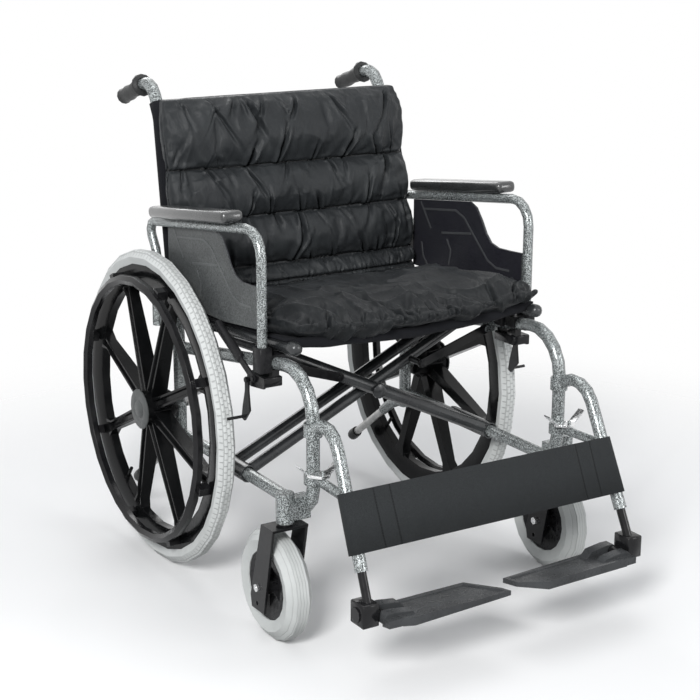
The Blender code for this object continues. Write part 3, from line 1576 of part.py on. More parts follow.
def calf_strap():
    """Woven strap across both hangers, looped round each tube."""
    run = Vector((0, HANGER_FOOT_Y - HANGER_BEND_Y, HANGER_FOOT_Z - HANGER_BEND_Z)).normalized()
    middle_z = (STRAP_TOP_Z + STRAP_FOOT_Z) / 2
    x, y = hanger_at(middle_z)
    length = (STRAP_TOP_Z - STRAP_FOOT_Z) / -run.z
    bore = HANGER_TUBE_R + SEAT_GAP * 4
    outer = bore + STRAP_THICK
    front = -outer
    loop_end = x - 0.045
    outline = []
    for sign in (1, -1):
        steps = range(7) if sign > 0 else range(6, -1, -1)
        for step in steps:
            turn = math.radians(-90 + 30 * step)
            outline.append((sign * (x + outer * math.cos(turn)), outer * math.sin(turn)))
        if sign > 0:
            outline += [(loop_end, front + STRAP_THICK * 2), (loop_end - 0.002, front + STRAP_THICK)]
            outline += [(-loop_end + 0.002, front + STRAP_THICK), (-loop_end, front + STRAP_THICK * 2)]
    holes = tuple(circle((sign * x, 0), bore, 12) for sign in (1, -1))
    body = plate(outline, length, "Z", 0, holes)
    tilt = Vector((0, 0, -1)).rotation_difference(run).to_matrix().to_4x4()
    transformed(body, Matrix.Translation((0, y, middle_z)) @ tilt)

    # The loops follow the hangers' slight spread, and a notch clears each lower link.
    spread = (HANGER_FOOT_X - HANGER_TOP_X) / (HANGER_BEND_Z - HANGER_FOOT_Z)
    for vertex in body.data.vertices:
        vertex.co.x += spread * (middle_z - vertex.co.z) * vertex.co.x / x
    for sign in (-1, 1):
        link_x, link_y = hanger_at(LINK_TUBE_Z)
        notch = rod(
            (sign * FRAME_X, FRONT_POST_Y, LINK_TUBE_Z),
            (sign * link_x, link_y, LINK_TUBE_Z),
            LINK_TUBE_R + 0.0015,
            8,
        )
        cut(body, notch)
    return body


def tipping_lever(sign):
    """Plated tube held in the frame's stub."""
    knee, end = tipping_route(sign)[1], tipping_route(sign)[3]
    along = (end - knee).normalized()
    return tube([knee + along * (0.008 + SEAT_GAP), end], TIP_TUBE_R)


def tipping_cap(sign):
    """Round rubber cap over the tipping lever's end."""
    knee, end = tipping_route(sign)[1], tipping_route(sign)[3]
    along = (end - knee).normalized()
    bore = TIP_TUBE_R + SEAT_GAP * 2
    profile = [
        (0, 0.008),
        (TIP_CAP_R * 0.60, 0.0068),
        (TIP_CAP_R * 0.92, 0.0030),
        (TIP_CAP_R, -0.003),
        (TIP_CAP_R - 0.001, -TIP_CAP_LENGTH + 0.008),
        (bore, -TIP_CAP_LENGTH + 0.008),
        (bore, SEAT_GAP),
        (0, SEAT_GAP),
    ]
    return turned(profile, 12, end, along, closed=False)


def build_side(side, sign, frame_parent):
    """Every piece that is made once for each side."""
    x = sign * FRAME_X
    axle = (sign * WHEEL_X, 0, WHEEL_R)
    frame = "frame_" + side
    finish(side_frame(side, sign), frame, hammered, (x, 0, LOWER_RAIL_Z), frame_parent)
    grip_start = (sign * HANDLE_X, HANDLE_END_Y, HANDLE_BEND_Z - HANDLE_DROP * (HANDLE_END_Y - HANDLE_BEND_Y))
    finish(push_grip(sign), "push_grip_" + side, grip_rubber, grip_start, frame)
    knee, mouth = tipping_route(sign)[1:3]
    finish(tipping_lever(sign), "tipping_lever_" + side, plated, mouth, frame)
    finish(tipping_cap(sign), "tipping_cap_" + side, grip_rubber, tipping_route(sign)[3], frame)
    saddle_point = seat_rail_point(sign, -0.345)
    finish(seat_saddle(sign), "seat_saddle_" + side, black_plastic, saddle_point, frame)
    socket_point = (sign * ARM_X, ARM_FRONT_Y, ARM_FRONT_FOOT_Z)
    finish(front_socket(sign), "armrest_socket_" + side, black_plastic, socket_point, frame)

    finish(armrest_tube(sign), "armrest_tube_" + side, hammered, socket_point, frame)
    pad_point = (sign * PAD_X, PAD_FRONT_Y, arm_z(PAD_FRONT_Y))
    finish(arm_pad(sign), "arm_pad_" + side, black_vinyl, pad_point, "armrest_tube_" + side)
    panel_point = (sign * PANEL_X, ARM_FRONT_Y, ARM_FRONT_FOOT_Z)
    finish(side_panel(sign), "side_panel_" + side, black_plastic, panel_point, "armrest_tube_" + side)

    wheel = "rear_wheel_" + side
    finish(rear_axle(sign), "rear_axle_" + side, steel, axle, frame)
    finish(rear_wheel(sign), wheel, black_plastic, axle, frame)
    finish(rear_tyre(sign), "rear_tyre_" + side, tyre_grey, axle, wheel)
    finish(handrim(sign), "handrim_" + side, black_gloss, axle, wheel)
    finish(hub_cap(sign), "hub_cap_" + side, cap_grey, axle, wheel)

    fork = "caster_fork_" + side
    stem = (sign * CASTER_X, CASTER_STEM_Y, FORK_CROWN_Z)
    caster = (sign * CASTER_X, CASTER_STEM_Y + CASTER_TRAIL, CASTER_R)
    finish(caster_fork(sign), fork, black_gloss, stem, frame)
    finish(caster_axle(sign), "caster_axle_" + side, plated, caster, fork)
    finish(caster_rim(sign), "caster_rim_" + side, black_plastic, caster, fork)
    finish(caster_tyre(sign), "caster_tyre_" + side, tyre_grey, caster, "caster_rim_" + side)

    bracket = "brake_bracket_" + side
    lever_pivot = (sign * BRAKE_LEVER_X, BRAKE_PIVOT_Y, BRAKE_PIVOT_Z)
    shoe_pivot = (sign * SHOE_X, SHOE_PIVOT_Y, SHOE_PIVOT_Z)
    finish(brake_bracket(sign), bracket, black_gloss, lever_pivot, frame)
    finish(brake_lever(sign), "brake_lever_" + side, black_plastic, lever_pivot, frame)
    finish(brake_shoe(sign), "brake_shoe_" + side, black_gloss, shoe_pivot, frame)

    arm = "hanger_" + side
    hang_point = (x, FRONT_POST_Y, HANGER_START_Z)
    latch_point = (x, FRONT_POST_Y - 0.0330, LINK_TUBE_Z + LINK_TUBE_R)
    mouth_x, mouth_y = hanger_at(HANGER_END_Z)
    plate_point = (sign * PLATE_HINGE_X, BLOCK_Y, PLATE_HINGE_Z)
    finish(hanger(sign), arm, hammered, hang_point, frame)
    finish(hanger_latch(sign), "hanger_latch_" + side, plated, latch_point, arm)
    foot_tube = "footrest_tube_" + side
    finish(footrest_tube(sign), foot_tube, black_gloss, (sign * mouth_x, mouth_y, HANGER_END_Z), arm)
    finish(footplate(sign), "footplate_" + side, black_plastic, plate_point, foot_tube)

    pin = (sign * (FRAME_X - LINK_PIVOT_IN), LINK_Y, LINK_PIVOT_Z)
    finish(link_arm(sign), "link_arm_" + side, black_gloss, pin, frame)


clear_scene()
parts = bpy.data.collections.new(SCENE_NAME)
bpy.context.scene.collection.children.link(parts)
chair = bpy.data.objects.new(SCENE_NAME, None)
chair.location = (0, -MIDDLE_Y, 0)
parts.objects.link(chair)

hammered = make_material("hammered_grey", (0.36, 0.37, 0.37), 0.38, 0.75)
satin = make_material("satin_grey", (0.30, 0.31, 0.32), 0.32, 0.85)
plated = make_material("plated", (0.78, 0.79, 0.80), 0.25, 0.95)
steel = make_material("steel", (0.50, 0.50, 0.50), 0.40, 0.95)
black_gloss = make_material("black_gloss", (0.010, 0.010, 0.011), 0.22, 0.0)
black_plastic = make_material("black_plastic", (0.017, 0.017, 0.018), 0.45, 0.0)
grip_rubber = make_material("grip_rubber", (0.014, 0.014, 0.014), 0.60, 0.0)
tyre_grey = make_material("tyre_grey", (0.62, 0.63, 0.62), 0.70, 0.0)
cap_grey = make_material("cap_grey", (0.13, 0.14, 0.14), 0.45, 0.0)
black_vinyl = make_material("black_vinyl", (0.020, 0.020, 0.021), 0.50, 0.0)
nylon = make_material("nylon", (0.016, 0.016, 0.018), 0.62, 0.0)
webbing = make_material("webbing", (0.030, 0.031, 0.034), 0.85, 0.0)

# The right side frame carries the chair; the fold runs from it through both braces to the left.
build_side("right", -1, None)
right_pivot = (-FRAME_X, 0, LOWER_RAIL_Z)
finish(cross_brace(-1), "brace_right", satin, right_pivot, "frame_right")
finish(pivot_bolt(), "pivot_bolt", steel, (0, WIDE_LEG_YS[0], CROSS_Z), "brace_right")
finish(cross_brace(1), "brace_left", satin, (0, 0, CROSS_Z), "brace_right")
build_side("left", 1, "brace_left")

finish(seat_sling(), "seat_sling", webbing, (0, SLING_FRONT_Y, seat_rail_z(SLING_FRONT_Y)), "brace_right")
finish(seat_cushion(), "seat_cushion", nylon, (0, CUSHION_FRONT_Y, seat_rail_z(CUSHION_FRONT_Y)), "brace_right")
finish(back_sling(), "back_sling", webbing, (0, back_line(BACK_LOW_Z), BACK_LOW_Z), "frame_right")
finish(back_cushion(), "back_cushion", nylon, (0, back_line(BACK_LOW_Z), BACK_LOW_Z), "frame_right")
finish(calf_strap(), "calf_strap", webbing, (0, hanger_at(STRAP_TOP_Z)[1], STRAP_TOP_Z), "hanger_right")
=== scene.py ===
import math
import random

import bmesh
import bpy
import numpy as np
from mathutils import Matrix, Vector, noise


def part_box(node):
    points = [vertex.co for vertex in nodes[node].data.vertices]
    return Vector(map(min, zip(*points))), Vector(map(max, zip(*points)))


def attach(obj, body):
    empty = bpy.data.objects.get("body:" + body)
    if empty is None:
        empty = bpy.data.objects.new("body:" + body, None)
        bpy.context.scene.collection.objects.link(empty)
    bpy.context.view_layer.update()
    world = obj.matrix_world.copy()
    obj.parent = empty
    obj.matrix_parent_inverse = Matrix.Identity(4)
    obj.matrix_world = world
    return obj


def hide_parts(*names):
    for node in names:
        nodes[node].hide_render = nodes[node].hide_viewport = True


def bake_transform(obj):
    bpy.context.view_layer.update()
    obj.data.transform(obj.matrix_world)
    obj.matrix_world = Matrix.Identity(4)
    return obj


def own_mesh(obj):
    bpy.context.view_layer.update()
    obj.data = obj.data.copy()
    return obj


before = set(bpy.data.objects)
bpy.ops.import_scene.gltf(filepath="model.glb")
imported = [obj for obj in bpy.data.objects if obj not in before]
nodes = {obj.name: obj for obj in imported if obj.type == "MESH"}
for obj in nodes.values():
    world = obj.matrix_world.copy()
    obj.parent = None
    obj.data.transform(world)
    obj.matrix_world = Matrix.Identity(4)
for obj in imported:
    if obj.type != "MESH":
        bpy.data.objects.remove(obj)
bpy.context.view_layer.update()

# All lengths are in metres. SHIFT_Y runs from the middle of the footprint to the rear axle.
SHIFT_Y = 0.22575
TYRE_R = 0.305
CASTER_R = 0.100
# Wheel centres on the left side
AXLE = Vector((0.3145, SHIFT_Y, TYRE_R))
CASTER_AXLE = Vector((0.3036, SHIFT_Y - 0.448, CASTER_R))
# Signs of x on the right and on the left
SIDES = (-1, 1)
# Points nearer than this are one point.
MERGE = 0.00001
# Distance of the side panels' middle from the chair's
PANEL_X = 0.2795
# Heights of the back cushion's sewn lines
BACK_SEAMS = (0.534, 0.565, 0.660, 0.755)
# The rear tyres' tread: half its width, its rows and the blocks in each row
TREAD_HALF, TREAD_ROWS, TREAD_BLOCKS = 0.0170, 5, 150
# Distance between the grooves in a caster's tyre
GROOVE_PITCH = 0.0058
# Edges that turn by more than this stay sharp in the shading.
SHARP_ANGLE = math.radians(46)
# The range that most of a noise's values fall in
NOISE_LOW, NOISE_HIGH = 0.3, 0.7


class Graph:
    """Short ways to add and join shader nodes in one material."""

    def __init__(self, name, colour, rough, metal=0.0):
        self.material = bpy.data.materials.new(name)
        self.material.use_nodes = True
        self.material.diffuse_color = (*colour, 1)
        self.tree = self.material.node_tree
        self.shader = self.tree.nodes["Principled BSDF"]
        self.shader.inputs["Base Color"].default_value = (*colour, 1)
        self.shader.inputs["Roughness"].default_value = rough
        self.shader.inputs["Metallic"].default_value = metal
        self.place = self.add("ShaderNodeTexCoord").outputs["Object"]
        self.last_normal = None

    def add(self, kind, **settings):
        node = self.tree.nodes.new(kind)
        for key, value in settings.items():
            setattr(node, key, value)
        return node

    def link(self, source, target):
        self.tree.links.new(source, target)

    def set(self, name, value):
        self.shader.inputs[name].default_value = value

    def moved(self, offset):
        shift = self.add("ShaderNodeVectorMath", operation="SUBTRACT")
        self.link(self.place, shift.inputs[0])
        shift.inputs[1].default_value = offset
        return shift.outputs[0]

    def stretched(self, scale):
        shape = self.add("ShaderNodeVectorMath", operation="MULTIPLY")
        self.link(self.place, shape.inputs[0])
        shape.inputs[1].default_value = scale
        return shape.outputs[0]

    def noise(self, scale, detail=3.0, rough=0.55, source=None, distortion=0.0):
        node = self.add("ShaderNodeTexNoise")
        node.inputs["Scale"].default_value = scale
        node.inputs["Detail"].default_value = detail
        node.inputs["Roughness"].default_value = rough
        node.inputs["Distortion"].default_value = distortion
        self.link(source or self.place, node.inputs["Vector"])
        return node.outputs["Fac"]

    def cells(self, scale):
        node = self.add("ShaderNodeTexVoronoi", feature="SMOOTH_F1")
        node.inputs["Scale"].default_value = scale
        self.link(self.place, node.inputs["Vector"])
        return node.outputs["Distance"]

    def math(self, operation, *values):
        node = self.add("ShaderNodeMath", operation=operation)
        for socket, value in zip(node.inputs, values):
            if isinstance(value, (int, float)):
                socket.default_value = value
            else:
                self.link(value, socket)
        return node.outputs[0]

    def steps(self, source, low, high, to_low=0.0, to_high=1.0):
        """Goes smoothly from to_low, where the source is low, to to_high."""
        node = self.add("ShaderNodeMapRange", interpolation_type="SMOOTHSTEP")
        self.link(source, node.inputs["Value"])
        names = ("From Min", "From Max", "To Min", "To Max")
        for name, value in zip(names, (low, high, to_low, to_high)):
            node.inputs[name].default_value = value
        return node.outputs["Result"]

    def spread(self, source, to_low, to_high):
        """A noise's usual values, mapped to a range."""
        return self.steps(source, NOISE_LOW, NOISE_HIGH, to_low, to_high)

    def ramp(self, source, stops):
        node = self.add("ShaderNodeValToRGB")
        ramp = node.color_ramp
        while len(ramp.elements) < len(stops):
            ramp.elements.new(0.5)
        for element, (place, colour) in zip(ramp.elements, stops):
            element.position = place
            element.color = (*colour, 1)
        self.link(source, node.inputs["Fac"])
        return node.outputs["Color"]

    def mix(self, share, a, b):
        node = self.add("ShaderNodeMix", data_type="RGBA")
        # Sockets 6 and 7 are the two colours.
        for socket, value in ((node.inputs[0], share), (node.inputs[6], a), (node.inputs[7], b)):
            if isinstance(value, (int, float)):
                socket.default_value = value
            elif isinstance(value, tuple):
                socket.default_value = (*value, 1)
            else:
                self.link(value, socket)
        return node.outputs[2]

    def axes(self, source):
        node = self.add("ShaderNodeSeparateXYZ")
        self.link(source, node.inputs[0])
        return node.outputs

    def round_axle(self, centre):
        """The x, y and z sockets from a wheel's centre, and the distance from its axle."""
        around = self.axes(self.moved(centre))
        squares = (self.math("POWER", around[k], 2.0) for k in (1, 2))
        return around, self.math("SQRT", self.math("ADD", *squares))

    def colour(self, source):
        self.link(source, self.shader.inputs["Base Color"])

    def rough(self, source):
        self.link(source, self.shader.inputs["Roughness"])

    def bump(self, height, distance, strength=1.0):
        node = self.add("ShaderNodeBump")
        node.inputs["Strength"].default_value = strength
        node.inputs["Distance"].default_value = distance
        self.link(height, node.inputs["Height"])
        if self.last_normal is not None:
            self.link(self.last_normal, node.inputs["Normal"])
        self.last_normal = node.outputs["Normal"]
        self.link(self.last_normal, self.shader.inputs["Normal"])

    def soften(self, radius):
        """Rounds hard edges in the shading, as the real edges are."""
        node = self.add("ShaderNodeBevel", samples=4)
        node.inputs["Radius"].default_value = radius
        self.last_normal = node.outputs["Normal"]
        self.link(self.last_normal, self.shader.inputs["Normal"])


# Materials
def hammered_enamel():
    """Grey enamel with a pattern of small dark cells and pale spots."""
    g = Graph("hammered enamel", (0.30, 0.31, 0.31), 0.26, 0.40)
    g.soften(0.0015)
    cells = g.cells(580)
    fine = g.noise(780, 4, 0.6)
    patch = g.noise(24, 2)
    mixed = g.math("ADD", g.math("MULTIPLY", cells, 0.62), g.math("MULTIPLY", fine, 0.62))
    dark, middle, pale = (0.007, 0.008, 0.008), (0.080, 0.088, 0.088), (0.56, 0.60, 0.60)
    base = g.ramp(mixed, [(0.41, dark), (0.53, middle), (0.66, pale)])
    g.colour(g.mix(g.spread(patch, 0.0, 0.25), base, (0.10, 0.11, 0.11)))
    g.rough(g.spread(fine, 0.18, 0.30))
    g.bump(mixed, 0.0006, 0.45)
    g.set("Specular IOR Level", 0.7)
    return g.material


def satin_coat():
    g = Graph("satin grey coat", (0.10, 0.105, 0.11), 0.26, 0.20)
    g.soften(0.0015)
    drift = g.noise(14, 3)
    fine = g.noise(900, 2)
    g.colour(g.ramp(drift, [(0.3, (0.020, 0.021, 0.023)), (0.7, (0.042, 0.045, 0.047))]))
    g.rough(g.spread(g.noise(60, 4), 0.18, 0.30))
    g.bump(fine, 0.0003, 0.25)
    g.set("Specular IOR Level", 0.6)
    return g.material


def bright_plate():
    g = Graph("bright zinc plate", (0.80, 0.81, 0.82), 0.22, 0.95)
    g.soften(0.0008)
    drift = g.noise(40, 3)
    brushed = g.noise(90, 3, source=g.stretched((1, 1, 12)))
    g.colour(g.ramp(drift, [(0.3, (0.66, 0.67, 0.68)), (0.7, (0.90, 0.90, 0.90))]))
    g.rough(g.spread(brushed, 0.16, 0.34))
    g.bump(brushed, 0.0002, 0.2)
    return g.material


def dull_steel():
    g = Graph("dull zinc plate", (0.42, 0.42, 0.42), 0.42, 0.95)
    g.soften(0.0010)
    drift = g.noise(70, 4)
    g.colour(g.ramp(drift, [(0.3, (0.30, 0.30, 0.30)), (0.7, (0.52, 0.52, 0.51))]))
    g.rough(g.spread(g.noise(220, 3), 0.32, 0.52))
    g.bump(g.noise(600, 2), 0.0002, 0.25)
    return g.material


def gloss_black():
    g = Graph("gloss black enamel", (0.008, 0.008, 0.009), 0.16, 0.0)
    g.soften(0.0012)
    drift = g.noise(30, 3)
    g.colour(g.ramp(drift, [(0.3, (0.006, 0.006, 0.007)), (0.7, (0.014, 0.014, 0.015))]))
    g.rough(g.spread(g.noise(110, 3), 0.12, 0.26))
    g.bump(g.noise(380, 2), 0.0002, 0.12)
    g.set("Specular IOR Level", 0.25)
    return g.material


def moulded_black(name, colour, rough, grain, shine=0.16):
    g = Graph(name, colour, rough)
    g.soften(0.0016)
    drift = g.noise(18, 3)
    light = tuple(v * 1.7 for v in colour)
    g.colour(g.ramp(drift, [(0.3, colour), (0.72, light)]))
    g.rough(g.spread(g.noise(160, 3), rough - 0.06, rough + 0.10))
    g.bump(g.noise(1100, 2), 0.0003, grain)
    g.set("Specular IOR Level", shine)
    return g.material


def grained_panel():
    """Moulded side guard: grey and grained outside, near black inside."""
    g = Graph("grained panel", (0.040, 0.042, 0.044), 0.42)
    g.soften(0.0012)
    cells = g.cells(620)
    drift = g.noise(16, 3)
    speckle = g.noise(420, 3)
    aside = g.math("ABSOLUTE", g.axes(g.place)[0])
    outside = g.steps(aside, PANEL_X - 0.0007, PANEL_X + 0.0001)
    pale = g.ramp(speckle, [(0.35, (0.030, 0.034, 0.034)), (0.62, (0.125, 0.132, 0.132))])
    deep = g.ramp(speckle, [(0.35, (0.010, 0.010, 0.014)), (0.62, (0.022, 0.022, 0.029))])
    base = g.mix(outside, deep, pale)
    # The raised lines' tops are painted paler: a painted highlight along the beads.
    bead_top_highlight = g.steps(g.math("ABSOLUTE", g.math("SUBTRACT", aside, PANEL_X)), 0.00265, 0.00295)
    base = g.mix(g.math("MULTIPLY", bead_top_highlight, 0.26), base, (0.20, 0.21, 0.21))
    g.colour(g.mix(g.spread(drift, 0.0, 0.35), base, (0.026, 0.027, 0.030)))
    g.rough(g.spread(speckle, 0.36, 0.55))
    g.bump(cells, 0.0007, 0.4)
    g.set("Specular IOR Level", 0.3)
    return g.material


def grip_rubber():
    g = Graph("black grip rubber", (0.013, 0.013, 0.013), 0.58)
    g.soften(0.0012)
    dust = g.noise(60, 5)
    g.colour(g.ramp(dust, [(0.3, (0.016, 0.017, 0.017)), (0.75, (0.038, 0.039, 0.040))]))
    g.rough(g.spread(g.noise(240, 3), 0.34, 0.50))
    g.bump(g.noise(900, 3), 0.0004, 0.35)
    g.set("Specular IOR Level", 0.25)
    return g.material


def tread_rubber(name, centre, colour):
    """Rubber with a tread of blocks, in rows round the wheel."""
    g = Graph(name, colour, 0.72)
    around, distance = g.round_axle(centre)
    angle = g.math("ARCTAN2", around[2], around[1])
    across = g.math("ABSOLUTE", around[0])
    row = g.math("DIVIDE", g.math("ADD", around[0], TREAD_HALF), 2 * TREAD_HALF / TREAD_ROWS)
    stagger = g.math("MULTIPLY", g.math("FLOOR", row), 0.5)
    along = g.math("ADD", g.math("MULTIPLY", angle, TREAD_BLOCKS / (2 * math.pi)), stagger)
    gap_along = g.math("PINGPONG", along, 0.5)
    gap_across = g.math("PINGPONG", row, 0.5)
    block = g.math("MULTIPLY", g.steps(gap_along, 0.05, 0.13), g.steps(gap_across, 0.04, 0.12))
    outer = g.steps(distance, TYRE_R - 0.0125, TYRE_R - 0.0095)
    zone = g.math("MULTIPLY", outer, g.steps(across, TREAD_HALF * 1.02, TREAD_HALF * 0.94))
    groove = g.math("MULTIPLY", g.math("SUBTRACT", 1.0, block), zone)
    grime = g.noise(34, 5)
    speckle = g.noise(480, 2)
    clean = g.ramp(grime, [(0.25, tuple(v * 0.86 for v in colour)), (0.7, colour)])
    # Painted shade: the grooves between the tread blocks are darkened.
    g.colour(g.mix(g.math("MULTIPLY", groove, 0.42), clean, tuple(v * 0.42 for v in colour)))
    g.rough(g.spread(speckle, 0.62, 0.82))
    g.bump(g.math("SUBTRACT", 1.0, groove), 0.0020, 0.7)
    g.bump(speckle, 0.0003, 0.3)
    return g.material


def caster_rubber(name, centre, colour):
    """Rubber with shallow grooves that run round the caster."""
    g = Graph(name, colour, 0.68)
    around, distance = g.round_axle(centre)
    line = g.math("PINGPONG", g.math("DIVIDE", around[0], GROOVE_PITCH), 0.5)
    outer = g.steps(distance, CASTER_R - 0.014, CASTER_R - 0.010)
    zone = g.math("MULTIPLY", outer, g.steps(g.math("ABSOLUTE", around[0]), 0.0185, 0.0165))
    groove = g.math("MULTIPLY", g.steps(line, 0.14, 0.04), zone)
    grime = g.noise(28, 5)
    clean = g.ramp(grime, [(0.25, tuple(v * 0.88 for v in colour)), (0.7, colour)])
    # Painted shade: the grooves round the caster are darkened.
    g.colour(g.mix(g.math("MULTIPLY", groove, 0.35), clean, tuple(v * 0.5 for v in colour)))
    g.rough(g.spread(g.noise(300, 2), 0.58, 0.76))
    g.bump(g.math("SUBTRACT", 1.0, groove), 0.0014, 0.6)
    return g.material


def hub_grey():
    g = Graph("grey hub plastic", (0.055, 0.060, 0.060), 0.40)
    g.soften(0.0012)
    g.colour(g.ramp(g.noise(30, 3), [(0.3, (0.045, 0.050, 0.050)), (0.7, (0.075, 0.080, 0.080))]))
    g.rough(g.spread(g.noise(220, 3), 0.34, 0.50))
    g.bump(g.noise(900, 2), 0.0003, 0.2)
    return g.material


def grained_vinyl():
    g = Graph("grained black vinyl", (0.014, 0.014, 0.015), 0.34)
    g.soften(0.0025)
    grain = g.cells(760)
    drift = g.noise(22, 3)
    g.colour(g.ramp(drift, [(0.3, (0.020, 0.021, 0.022)), (0.7, (0.040, 0.042, 0.043))]))
    g.rough(g.steps(grain, 0.1, 0.8, 0.22, 0.36))
    g.bump(grain, 0.0006, 0.45)
    g.set("Coat Weight", 0.8)
    g.set("Coat Roughness", 0.14)
    return g.material


def coated_nylon(name, seams=(), gloss=0.18, depth=1.0):
    """Near-black coated cloth: weave, sheen, small creases painted paler as a highlight, sewn lines
    painted dark as shade at the heights given, and painted shade over all where depth is below 1.
    """
    threads = 5200.0
    g = Graph(name, (0.026, 0.028, 0.030), 0.36)
    place = g.axes(g.place)
    warp = g.math("SINE", g.math("MULTIPLY", place[0], threads))
    weft = g.math("SINE", g.math("MULTIPLY", g.math("ADD", place[1], place[2]), threads))
    weave = g.math("MULTIPLY", warp, weft)
    crease = g.noise(34, 4, 0.6, g.stretched((2.6, 0.9, 0.8)), 0.9)
    ridge = g.math("ABSOLUTE", g.math("SUBTRACT", crease, 0.5))
    worn = g.noise(9, 3)
    # A depth below 1 darkens the whole cloth as painted shade; the seat's copy uses it.
    dark = tuple(v * depth for v in (0.020, 0.022, 0.024))
    light = tuple(v * depth for v in (0.030, 0.033, 0.035))
    cloth = g.ramp(worn, [(0.3, dark), (0.72, light)])
    # Painted highlight: the lines of the small creases are painted paler.
    cloth = g.mix(g.steps(ridge, 0.02, 0.0, 0.0, 0.25), cloth, (0.052, 0.056, 0.059))
    height = ridge
    for level in seams:
        wave = g.math("MULTIPLY", g.math("SINE", g.math("MULTIPLY", place[0], 31.0)), 0.0010)
        away = g.math("ABSOLUTE", g.math("SUBTRACT", g.math("ADD", place[2], wave), level))
        # Painted shade: each sewn line is painted near black, as the shade in its crease.
        cloth = g.mix(g.steps(away, 0.0022, 0.0008, 0.0, 0.85), cloth, (0.001, 0.001, 0.0012))
        height = g.math("SUBTRACT", height, g.steps(away, 0.0030, 0.0006, 0.0, 0.35))
    g.colour(cloth)
    g.rough(g.spread(crease, 0.29, 0.46))
    g.bump(height, 0.0034, 0.4)
    g.bump(weave, 0.0003, 0.22)
    g.set("Specular IOR Level", gloss)
    g.set("Sheen Weight", 0.04)
    g.set("Sheen Roughness", 0.35)
    g.set("Sheen Tint", (0.75, 0.80, 0.85, 1))
    return g.material


# Length of one stitch with its gap
STITCH = 0.0042


def woven_web(name, colour, pitch, stitches=()):
    """Coarse woven cloth, with lines of stitching at the given distances from the middle."""
    g = Graph(name, colour, 0.82)
    place = g.axes(g.place)
    turns = 2 * math.pi / pitch
    warp = g.math("SINE", g.math("MULTIPLY", place[0], turns))
    slope = g.math("ADD", place[2], g.math("MULTIPLY", place[1], 0.6))
    weft = g.math("SINE", g.math("MULTIPLY", slope, turns))
    weave = g.math("MULTIPLY", warp, weft)
    fuzz = g.noise(700, 3)
    drift = g.noise(12, 3)
    dark = tuple(v * 0.62 for v in colour)
    light = tuple(v * 1.5 for v in colour)
    threads = g.math("ADD", g.math("MULTIPLY", weave, 0.22), fuzz)
    base = g.ramp(threads, [(0.3, dark), (0.75, light)])
    cloth = g.mix(g.spread(drift, 0.0, 0.45), base, colour)
    height = g.math("MULTIPLY", weave, 0.5)
    aside = g.math("ABSOLUTE", place[0])
    for distance in stitches:
        away = g.math("ABSOLUTE", g.math("SUBTRACT", aside, distance))
        seam = g.steps(away, 0.0022, 0.0004)
        wave = g.math("SINE", g.math("MULTIPLY", place[2], 2 * math.pi / STITCH))
        dash = g.steps(wave, -0.2, 0.3)
        thread = g.math("MULTIPLY", g.steps(away, 0.0009, 0.0004), dash)
        height = g.math("SUBTRACT", height, g.math("MULTIPLY", seam, 3.0))
        height = g.math("ADD", height, g.math("MULTIPLY", thread, 2.4))
        # Painted shade: the pressed-in groove of each stitch line is darkened.
        cloth = g.mix(g.math("MULTIPLY", seam, 0.75), cloth, tuple(v * 0.25 for v in colour))
        cloth = g.mix(g.math("MULTIPLY", thread, 0.8), cloth, tuple(v * 0.9 for v in colour))
    g.colour(cloth)
    g.rough(g.spread(fuzz, 0.74, 0.92))
    g.bump(g.noise(7, 3, 0.5, g.stretched((1.6, 1, 0.6))), 0.0300, 0.35)
    g.bump(height, 0.0006, 0.6)
    g.set("Specular IOR Level", 0.08)
    g.set("Sheen Weight", 0.04)
    g.set("Sheen Roughness", 0.5)
    return g.material


enamel = hammered_enamel()
coat = satin_coat()
plate = bright_plate()
steel = dull_steel()
gloss = gloss_black()
plastic = moulded_black("moulded black plastic", (0.012, 0.012, 0.013), 0.30, 0.22)
tread_plastic = moulded_black("moulded tread plastic", (0.040, 0.042, 0.044), 0.30, 0.30)
wheel_plastic = moulded_black("moulded wheel nylon", (0.004, 0.0042, 0.0045), 0.16, 0.08, 0.10)
panel = grained_panel()
rubber = grip_rubber()
hub = hub_grey()
vinyl = grained_vinyl()
# The seat's nylon is the back's, darkened by depth 0.62 as painted shade on the seat.
seat_nylon = coated_nylon("coated seat nylon", gloss=0.13, depth=0.62)
back_nylon = coated_nylon("coated back nylon", BACK_SEAMS)
sling_web = woven_web("sling cloth", (0.012, 0.0125, 0.015), 0.0016)
strap_web = woven_web("strap cloth", (0.030, 0.0325, 0.034), 0.0020, (0.196, 0.228))

SOFT = ("seat_sling", "seat_cushion", "back_sling", "back_cushion", "calf_strap")
COATS = {
    "frame": enamel, "armrest_tube": enamel, "hanger": enamel,
    "brace": coat, "pivot_bolt": coat,
    "caster_axle": plate, "hanger_latch": plate,
    "rear_axle": steel, "tipping_lever": steel,
    "handrim": gloss, "caster_fork": gloss, "brake_bracket": gloss, "brake_shoe": gloss,
    "footrest_tube": gloss, "link_arm": gloss,
    "seat_saddle": plastic, "armrest_socket": plastic, "caster_rim": plastic,
    "brake_lever": plastic, "footplate": tread_plastic,
    "rear_wheel": wheel_plastic, "side_panel": panel,
    "push_grip": rubber, "tipping_cap": rubber,
    "hub_cap": hub, "arm_pad": vinyl,
}


